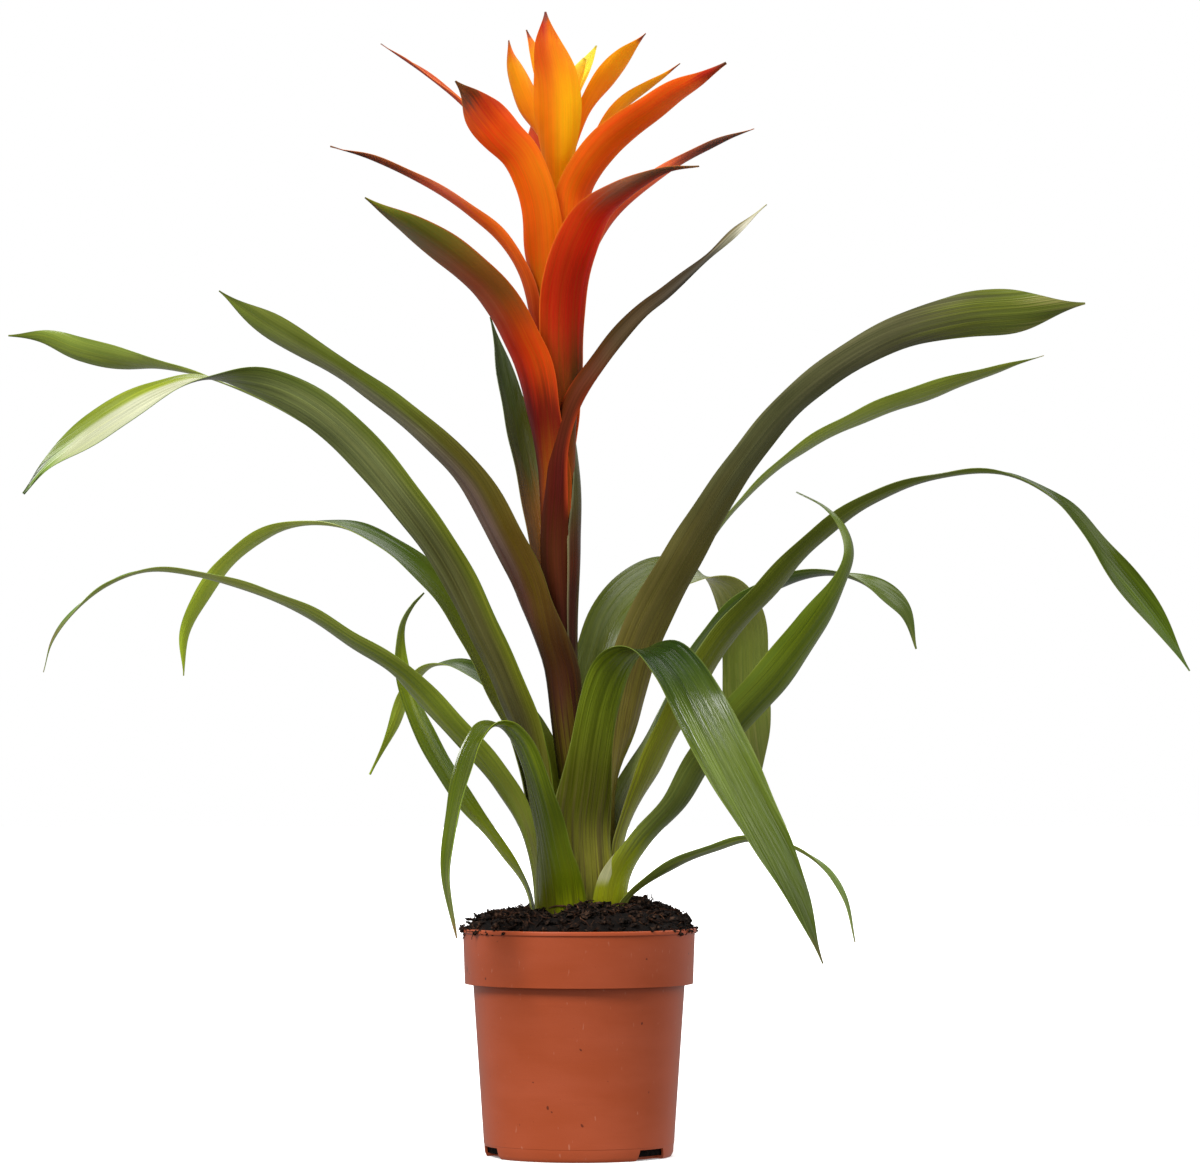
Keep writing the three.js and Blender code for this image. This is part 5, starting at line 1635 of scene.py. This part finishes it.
@dataclass(frozen=True)
class Chip:
    """A flat chip of bark, about one unit long."""

    forms: int = 5
    cuts: int = 3
    fineness: float = 2.6
    apart: float = 4.0
    pointed: float = 0.35
    ragged: Point = (0.5, 0.3, 0.12)
    wide: float = 0.34
    wider: float = 0.05
    wide_forms: int = 3
    thick: float = 0.15

    def model(self, number: int) -> bpy.types.Object:
        """Model one chip.

        Args:
            number: The number of its form.

        Returns:
            The new mesh object.
        """
        deselect()
        bpy.ops.mesh.primitive_cube_add(size=1.0)
        piece = bpy.context.object
        bpy.ops.object.mode_set(mode="EDIT")
        bpy.ops.mesh.select_all(action="SELECT")
        bpy.ops.mesh.subdivide(number_cuts=self.cuts)
        bpy.ops.object.mode_set(mode="OBJECT")
        wide = self.wide + self.wider * (number % self.wide_forms)
        for vertex in piece.data.vertices:
            x, y, z = vertex.co
            push = noise.noise(vertex.co * self.fineness + Vector((0, number * self.apart, 0)))
            ragged_x, ragged_y, ragged_z = (share * push for share in self.ragged)
            end = 1 - self.pointed * abs(x) * (1 + number % 2)
            vertex.co = (x * (1 + ragged_x), y * (wide + ragged_y) * end,
                         z * self.thick + ragged_z)
        return piece


@dataclass(frozen=True)
class Fibre:
    """A bent fibre, one unit long. Its thickness is a share of the usual."""

    forms: int = 5
    slim: float = 1.0
    steps: int = 10
    sides: int = 5
    bends: tuple[float, float] = (0.2, 0.6)
    radii: tuple[float, float] = (0.018, 0.034)
    middle: float = 1.15
    taper: float = 1.6
    sway: tuple[float, float] = (0.06, 9.0)
    lift: tuple[float, float] = (0.05, 6.0)
    merge_gap: float = 1e-5

    def model(self, number: int, dice: random.Random) -> bpy.types.Object:
        """Model one fibre.

        Args:
            number: The number of its form.
            dice: The source of chance.

        Returns:
            The new mesh object.
        """
        deselect()
        bpy.ops.mesh.primitive_grid_add(x_subdivisions=self.steps, y_subdivisions=self.sides,
                                        size=1.0)
        piece = bpy.context.object
        bend, thick = dice.uniform(*self.bends), dice.uniform(*self.radii) * self.slim
        (sway, sways), (lift, lifts) = self.sway, self.lift
        for vertex in piece.data.vertices:
            along, turn = vertex.co.x, (vertex.co.y + 0.5) * FULL_TURN
            radius = thick * (self.middle - abs(along) * self.taper)
            aside = bend * along * along + sway * math.sin(sways * along + number)
            middle = Vector((along, aside, lift * math.sin(lifts * along)))
            vertex.co = middle + Vector((0, math.cos(turn), math.sin(turn))) * radius
        hold(piece)
        bpy.ops.object.mode_set(mode="EDIT")
        bpy.ops.mesh.select_all(action="SELECT")
        bpy.ops.mesh.remove_doubles(threshold=self.merge_gap)
        bpy.ops.mesh.select_all(action="DESELECT")
        bpy.ops.mesh.select_non_manifold()
        bpy.ops.mesh.edge_face_add()
        bpy.ops.mesh.select_all(action="SELECT")
        bpy.ops.mesh.normals_make_consistent(inside=False)
        bpy.ops.object.mode_set(mode="OBJECT")
        return piece

    def models(self, dice: random.Random) -> list[bpy.types.Object]:
        """Model all forms of this fibre."""
        return [self.model(number, dice) for number in range(self.forms)]


@dataclass(frozen=True)
class Portion:
    """A number of loose bits, from a least to a greatest size in mm."""

    count: int
    small: float
    large: float

    def size(self, dice: random.Random, lean: float) -> float:
        """Draw a size; the higher the lean, the more bits are small."""
        return self.small + (self.large - self.small) * dice.random() ** lean


@dataclass(frozen=True)
class Soil:
    """The peat in the pot, its loose crumbs and its fibres. Sizes are in mm."""

    pot: Pot
    clearance: float = 0.35
    rim_level: float = 113.5
    top_margin: float = 0.01
    crown_radius: float = 33.0
    heart_radius: float = 21.0
    heart_level: float = 119.0
    mound: tuple[tuple[float, ...], tuple[float, ...]] = (
        (0.0, 1.2, 4.0, 9.0, 16.0, 25.0), (114.2, 115.6, 118.6, 121.2, 123.4, 125.2),
    )
    lean: float = 0.012
    swells: tuple[Spot, ...] = (
        (32.0, 8.0, 13.0, 3.6), (-33.0, 2.0, 16.0, -2.0), (2.0, -32.0, 6.5, 3.8),
        (-15.0, -31.0, 7.0, -2.6),
    )
    lump: float = 2.5
    lump_noise: Fractal = (11.0, 1.0, 0.8, 2.0, 3)
    grain: float = 1.35
    grain_noise: Fractal = (2.6, 4.0, 0.6, 2.1, 4)
    calm_edge: tuple[float, float] = (0.3, 5.0)
    sides: int = 150
    rings: int = 46
    crumb: Crumb = Crumb()
    crumbs: Portion = Portion(950, 0.9, 5.6)
    spilled_crumbs: Portion = Portion(84, 0.7, 3.6)
    crumb_tilt: float = 0.5
    chip: Chip = Chip()
    chips: Portion = Portion(230, 3.0, 7.5)
    chip_tilt: float = 0.8
    fibre: Fibre = Fibre(slim=1.5)
    fibres: Portion = Portion(420, 3.5, 10.0)
    spilled_fibres: Portion = Portion(42, 3.0, 8.0)
    fibre_tilt: float = 0.8
    root: Fibre = Fibre(slim=0.75)
    roots: Portion = Portion(18, 13.0, 26.0)
    root_tilt: float = 0.12
    stray_fibre: Fibre = Fibre(forms=3, slim=1.1)
    stray: Portion = Portion(12, 7.0, 14.0)
    stray_tilt: float = 1.3
    spills: tuple[tuple[float, float], ...] = (
        (190.0, 9.0), (214.0, 13.0), (2.0, 9.0), (330.0, 12.0),
    )
    heap_overhang: float = 1.0
    heap_lean: float = 2.2
    heap_lift: float = 0.26
    heap_lift_size: float = 7.0
    rim_lean: float = 2.0
    rim_reach: tuple[float, float] = (-2.0, 0.7)
    rim_lift: tuple[float, float] = (-0.8, 0.3)
    rim_lift_size: float = 3.0
    widest_turn: float = 6.28
    smooth_angle: float = 40.0
    seed: int = 11

    @staticmethod
    def ripple(x: float, y: float, pattern: Fractal) -> float:
        """Read a fractal pattern at a place.

        Args:
            x: Place to the right, in mm.
            y: Place away from the viewer, in mm.
            pattern: Its size in mm, its slice, and its fall, gap and number of octaves.

        Returns:
            A value round 0.
        """
        size, layer, fall, gap, octaves = pattern
        return noise.fractal(Vector((x / size, y / size, layer)), fall, gap, octaves)

    def level(self, x: float, y: float) -> float:
        """The height of the peat's surface at a place.

        Args:
            x: Place to the right, in mm.
            y: Place away from the viewer, in mm.

        Returns:
            The height in mm.
        """
        radius = math.hypot(x, y)
        depth = max(self.pot.rim_radius - self.pot.wall - radius, 0.0)
        mound = float(np.interp(depth, *self.mound)) + self.lean * x
        calm = float(smoothstep(radius, self.heart_radius, self.crown_radius))
        edge = float(smoothstep(depth, *self.calm_edge))
        high = mound * calm + self.heart_level * (1 - calm)
        for east, north, wide, lift in self.swells:
            high += lift * math.exp(-((x - east) ** 2 + (y - north) ** 2) / wide ** 2)
        rough = self.lump * self.ripple(x, y, self.lump_noise)
        rough += self.grain * self.ripple(x, y, self.grain_noise)
        return high + rough * edge

    def outline(self) -> Outline:
        """Draw the peat's closed outline.

        Returns:
            Radius and height under the surface, then the rings of the surface, still flat.
        """
        pot, inside = self.pot, self.pot.wall + self.clearance
        floor, collar = pot.floor + self.clearance, pot.height - pot.collar_height
        edge = pot.rim_radius - pot.lip_proud - inside
        low = (
            (0, floor), (pot.body_radius(floor) - inside, floor),
            (pot.body_top_radius - inside, collar + pot.step + self.clearance),
            (pot.collar_foot_radius - inside, collar + pot.step + inside),
        )
        top = ((edge * (1 - k / self.rings), self.rim_level) for k in range(self.rings + 1))
        return (*low, *top)

    def make(self, slot: str) -> None:
        """Build, dress and hand over the peat, its crumbs and its fibres.

        Args:
            slot: The record's material slot of the soil.
        """
        heap = spin_profile("peat", self.outline(), self.sides)
        top = (self.rim_level - self.top_margin) * MM
        for vertex in heap.data.vertices:
            if vertex.co.z > top:
                vertex.co.z = self.level(vertex.co.x / MM, vertex.co.y / MM) * MM
        hold(heap)
        bpy.ops.object.shade_smooth()
        PeatLook.PEAT.hand_over(heap, "peat_heap", slot, "soil")
        dice = random.Random(self.seed)
        forms = [self.crumb.model(number) for number in range(self.crumb.forms)]
        spots = self.on_heap(self.crumbs, dice) + self.on_rim(self.spilled_crumbs, dice)
        crumbs = self.strew(forms, spots, dice, self.crumb_tilt)
        PeatLook.PEAT_CRUMB.hand_over(crumbs, "peat_crumbs", slot)
        forms = [self.chip.model(number) for number in range(self.chip.forms)]
        chips = self.strew(forms, self.on_heap(self.chips, dice), dice, self.chip_tilt)
        PeatLook.BARK_CHIP.hand_over(chips, "bark_chips", slot)
        forms = self.fibre.models(dice)
        spots = self.on_heap(self.fibres, dice) + self.on_rim(self.spilled_fibres, dice)
        fibres = self.strew(forms, spots, dice, self.fibre_tilt)
        spots = self.on_heap(self.roots, dice)
        roots = self.strew(self.root.models(dice), spots, dice, self.root_tilt)
        forms = self.stray_fibre.models(dice)
        stray = self.strew(forms, self.on_rim(self.stray, dice, 1), dice, self.stray_tilt)
        PeatLook.PEAT_FIBRE.hand_over(join([fibres, roots, stray]), "peat_fibres", slot)

    def on_heap(self, portion: Portion, dice: random.Random) -> list[Spot]:
        """Pick spots on the peat for loose bits.

        Args:
            portion: How many bits, and their sizes.
            dice: The source of chance.

        Returns:
            The spots.
        """
        outer = self.pot.rim_radius - self.pot.wall + self.heap_overhang
        spots = []
        for _ in range(portion.count):
            size = portion.size(dice, self.heap_lean)
            turn = dice.uniform(0, FULL_TURN)
            room = outer - size * 0.5
            radius = math.sqrt(dice.uniform((self.heart_radius / room) ** 2, 1.0)) * room
            x, y = radius * math.cos(turn), radius * math.sin(turn)
            lift = self.heap_lift * min(size, self.heap_lift_size)
            spots.append((x, y, self.level(x, y) + lift, size))
        return spots

    def on_rim(self, portion: Portion, dice: random.Random,
               spills: int | None = None) -> list[Spot]:
        """Pick spots on the pot's rim, where bits of peat have spilled.

        Args:
            portion: How many bits, and their sizes.
            dice: The source of chance.
            spills: How many of the places of spilled peat take part, or None for all.

        Returns:
            The spots.
        """
        spots = []
        for _ in range(portion.count):
            size = portion.size(dice, self.rim_lean)
            middle, spread = dice.choice(self.spills[:spills])
            turn = math.radians(dice.gauss(middle, spread))
            radius = self.pot.rim_radius + dice.uniform(*self.rim_reach)
            lift = dice.uniform(*self.rim_lift) * min(size, self.rim_lift_size)
            spots.append((radius * math.cos(turn), radius * math.sin(turn),
                          self.pot.height + lift, size))
        return spots

    def strew(self, forms: list[bpy.types.Object], spots: list[Spot], dice: random.Random,
              tilt: float) -> bpy.types.Object:
        """Lay copies of a few forms on spots and join them.

        Args:
            forms: The forms to copy.
            spots: Where they lie, and how large.
            dice: The source of chance.
            tilt: How far they may lean, in radians.

        Returns:
            The joined mesh object.
        """
        copies = []
        for k, (x, y, z, size) in enumerate(spots):
            copy = forms[k % len(forms)].copy()
            copy.data = copy.data.copy()
            bpy.context.collection.objects.link(copy)
            copy.scale = (size * MM,) * 3
            copy.rotation_euler = (dice.uniform(-tilt, tilt), dice.uniform(-tilt, tilt),
                                   dice.uniform(0, self.widest_turn))
            copy.location = (x * MM, y * MM, z * MM)
            copies.append(copy)
        joined = join(copies)
        for form in forms:
            bpy.data.objects.remove(form)
        shade_smooth(joined, self.smooth_angle)
        return joined


@dataclass(frozen=True)
class StalkFinish:
    """Satin dark red-brown flower stalk."""

    colours: str = "20:7a6a3a 40:3a1f1a 70:6a2014 90:c86414 100:d8a030"
    height: float = 0.52
    line_stretch: Point = (900.0, 900.0, 20.0)
    line_share: float = 0.5
    roughness: float = 0.45

    def dress(self) -> bpy.types.Material:
        """Make the material.

        Returns:
            The new material.
        """
        material, wiring, surface = new_material("flower_stalk")
        spot = wiring.place()
        colour = wiring.ramp(wiring.math("DIVIDE", wiring.split(spot)[2], self.height),
                             self.colours)
        lines = wiring.noise(wiring.stretched(spot, self.line_stretch), 1.0)
        inputs = {"Value": wiring.vary(lines, self.line_share), "Color": colour}
        shade = wiring.add("ShaderNodeHueSaturation", inputs)
        wiring.feed(surface, {"Base Color": shade.outputs[0], "Roughness": self.roughness})
        return material


@dataclass(frozen=True)
class Stalk:
    """The stem and the flower stalk that grows from it. Sizes are in mm."""

    foot: float = CROWN
    top: float = 517.0
    root_radius: float = 7.5
    stalk_radius: float = 4.6
    top_radius: float = 3.0
    narrow_from: float = 125.0
    narrow_to: float = 195.0
    rings: int = 60
    roundness: int = 7
    smooth_angle: float = 45.0
    finish: StalkFinish = StalkFinish()

    def radius(self, z: float) -> float:
        """Give the stalk's radius at a height.

        Args:
            z: The height in mm.

        Returns:
            The radius in mm.
        """
        low = float(smoothstep(z, self.narrow_from, self.narrow_to))
        high = float(smoothstep(z, self.narrow_to, self.top))
        radius = self.root_radius + (self.stalk_radius - self.root_radius) * low
        return radius + (self.top_radius - radius) * high

    def make(self, axis: Axis, slot: str) -> None:
        """Build, dress and hand over the stalk.

        Args:
            axis: The middle line of the plant.
            slot: The record's material slot of the stalk.
        """
        deselect()
        bpy.ops.curve.primitive_bezier_curve_add()
        line = bpy.context.object
        curve = line.data
        curve.splines.clear()
        spline = curve.splines.new("POLY")
        spline.points.add(self.rings)
        for k, point in enumerate(spline.points):
            z = self.foot + (self.top - self.foot) * k / self.rings
            point.co = (*(axis.at(z) * MM), 1.0)
            point.radius = self.radius(z)
        curve.dimensions = "3D"
        curve.bevel_depth = MM
        curve.bevel_resolution = self.roundness
        curve.use_fill_caps = True
        hold(line)
        bpy.ops.object.convert(target="MESH")
        piece = bpy.context.object
        shade_smooth(piece, self.smooth_angle)
        piece.data.materials.clear()
        piece.data.materials.append(self.finish.dress())
        settle(piece, "flower_stalk_round", slot, "flower_stalk")


@dataclass(frozen=True)
class Sun:
    """A soft sun: its name, power and directions, and its own width, in degrees."""

    name: str
    power: float
    turn: float
    lean: float
    width: float

    def make(self) -> None:
        """Hang the sun in the scene."""
        data = bpy.data.lights.new(self.name, "SUN")
        data.energy, data.angle = self.power, math.radians(self.width)
        lamp = bpy.data.objects.new(self.name, data)
        lamp.rotation_euler = (math.radians(self.lean), 0, math.radians(self.turn))
        bpy.context.collection.objects.link(lamp)


@dataclass(frozen=True)
class Studio:
    """The white floor, the soft light and the camera. The picture is measured in pixels."""

    floor_radius: float = 12.0
    floor_sides: int = 96
    floor_drop: float = 0.0002
    floor_white: float = 0.93
    floor_roughness: float = 0.9
    floor_lift: float = 0.22
    distance: float = 2.4
    eye: float = 0.201
    scale: float = 0.5106e-3
    width: int = 1200
    axis_pixel: float = 579.0
    ground_row: float = 1155.0
    height: int = 1175
    sensor: float = 36.0
    farthest: float = 60.0
    glow: float = 0.34
    glow_below: float = 0.34
    glow_above_span: tuple[float, float] = (-0.9, 0.6)
    glow_behind: float = 0.35
    glow_behind_span: tuple[float, float] = (-0.1, 0.75)
    mirrored: float = 0.04
    mirrored_behind: float = 0.36
    suns: tuple[Sun, ...] = (
        Sun("key", 3.3, -34.0, 46.0, 22.0), Sun("side", 1.2, 60.0, 50.0, 40.0),
        Sun("back", 0.8, 165.0, 38.0, 40.0),
    )

    def camera(self) -> None:
        """Put the camera where the photographer stood."""
        data = bpy.data.cameras.new("camera")
        data.sensor_fit = "HORIZONTAL"
        data.sensor_width = self.sensor
        data.lens = self.sensor * self.distance / (self.width * self.scale)
        data.shift_x = (self.width / 2 - self.axis_pixel) / self.width
        horizon = self.ground_row - self.eye / self.scale
        data.shift_y = (horizon - self.height / 2) / self.width
        data.clip_end = self.farthest
        camera = bpy.data.objects.new("camera", data)
        camera.location = (0, -self.distance, self.eye)
        camera.rotation_euler = (math.pi / 2, 0, 0)
        bpy.context.collection.objects.link(camera)
        bpy.context.scene.camera = camera

    def floor(self) -> None:
        """Lay the floor."""
        deselect()
        bpy.ops.mesh.primitive_circle_add(vertices=self.floor_sides, radius=self.floor_radius,
                                          fill_type="NGON", location=(0, 0, -self.floor_drop))
        floor = bpy.context.object
        floor.name = "floor"
        material, wiring, surface = new_material("white_floor")
        wiring.feed(surface, {
            "Base Color": (*[self.floor_white] * 3, 1.0), "Roughness": self.floor_roughness,
            "Specular IOR Level": 0.0, "Emission Color": WHITE,
            "Emission Strength": self.floor_lift,
        })
        floor.data.materials.append(material)
        floor.visible_glossy = False
        floor.visible_diffuse = False

    def light(self) -> None:
        """Surround the plant with white and hang the soft suns."""
        world = bpy.data.worlds.new("white_room")
        bpy.context.scene.world = world
        world.use_nodes = True
        wiring = Wiring(world.node_tree)
        back = next(n for n in world.node_tree.nodes if n.type == "BACKGROUND")
        path = wiring.add("ShaderNodeLightPath").outputs
        toward = wiring.split(wiring.add("ShaderNodeTexCoord").outputs["Generated"])
        behind = wiring.span(toward[1], *self.glow_behind_span)
        above = wiring.span(toward[2], *self.glow_above_span)
        soft = wiring.math("MULTIPLY_ADD", above, self.glow, self.glow_below)
        soft = wiring.math("MULTIPLY_ADD", behind, self.glow_behind, soft)
        mirrored = wiring.math("MULTIPLY_ADD", behind, self.mirrored_behind, self.mirrored)
        strength = 1.0
        for ray, value in (("Is Diffuse Ray", soft), ("Is Glossy Ray", mirrored)):
            more = wiring.math("SUBTRACT", value, 1.0)
            strength = wiring.math("MULTIPLY_ADD", path[ray], more, strength)
        wiring.feed(back, {"Color": WHITE, "Strength": strength})
        for sun in self.suns:
            sun.make()

    def make(self) -> None:
        """Set up the whole studio."""
        self.camera()
        self.floor()
        self.light()
        bpy.context.scene.view_settings.view_transform = "Standard"


def main() -> None:
    """Build and dress the whole plant in its studio."""
    logging.basicConfig(level=logging.INFO, format="%(name)s: %(message)s")
    slots = {part["node"]: part["material_slot"] for part in frame["record"]["subparts"]}
    Studio().make()
    pot, axis = Pot(), Axis()
    pot.make(slots["pot"])
    Soil(pot).make(slots["soil"])
    Stalk().make(axis, slots["flower_stalk"])
    BladeMaker().make(ROSETTE + STALK_BLADES, axis, slots)


if __name__ == "__main__":
    main()
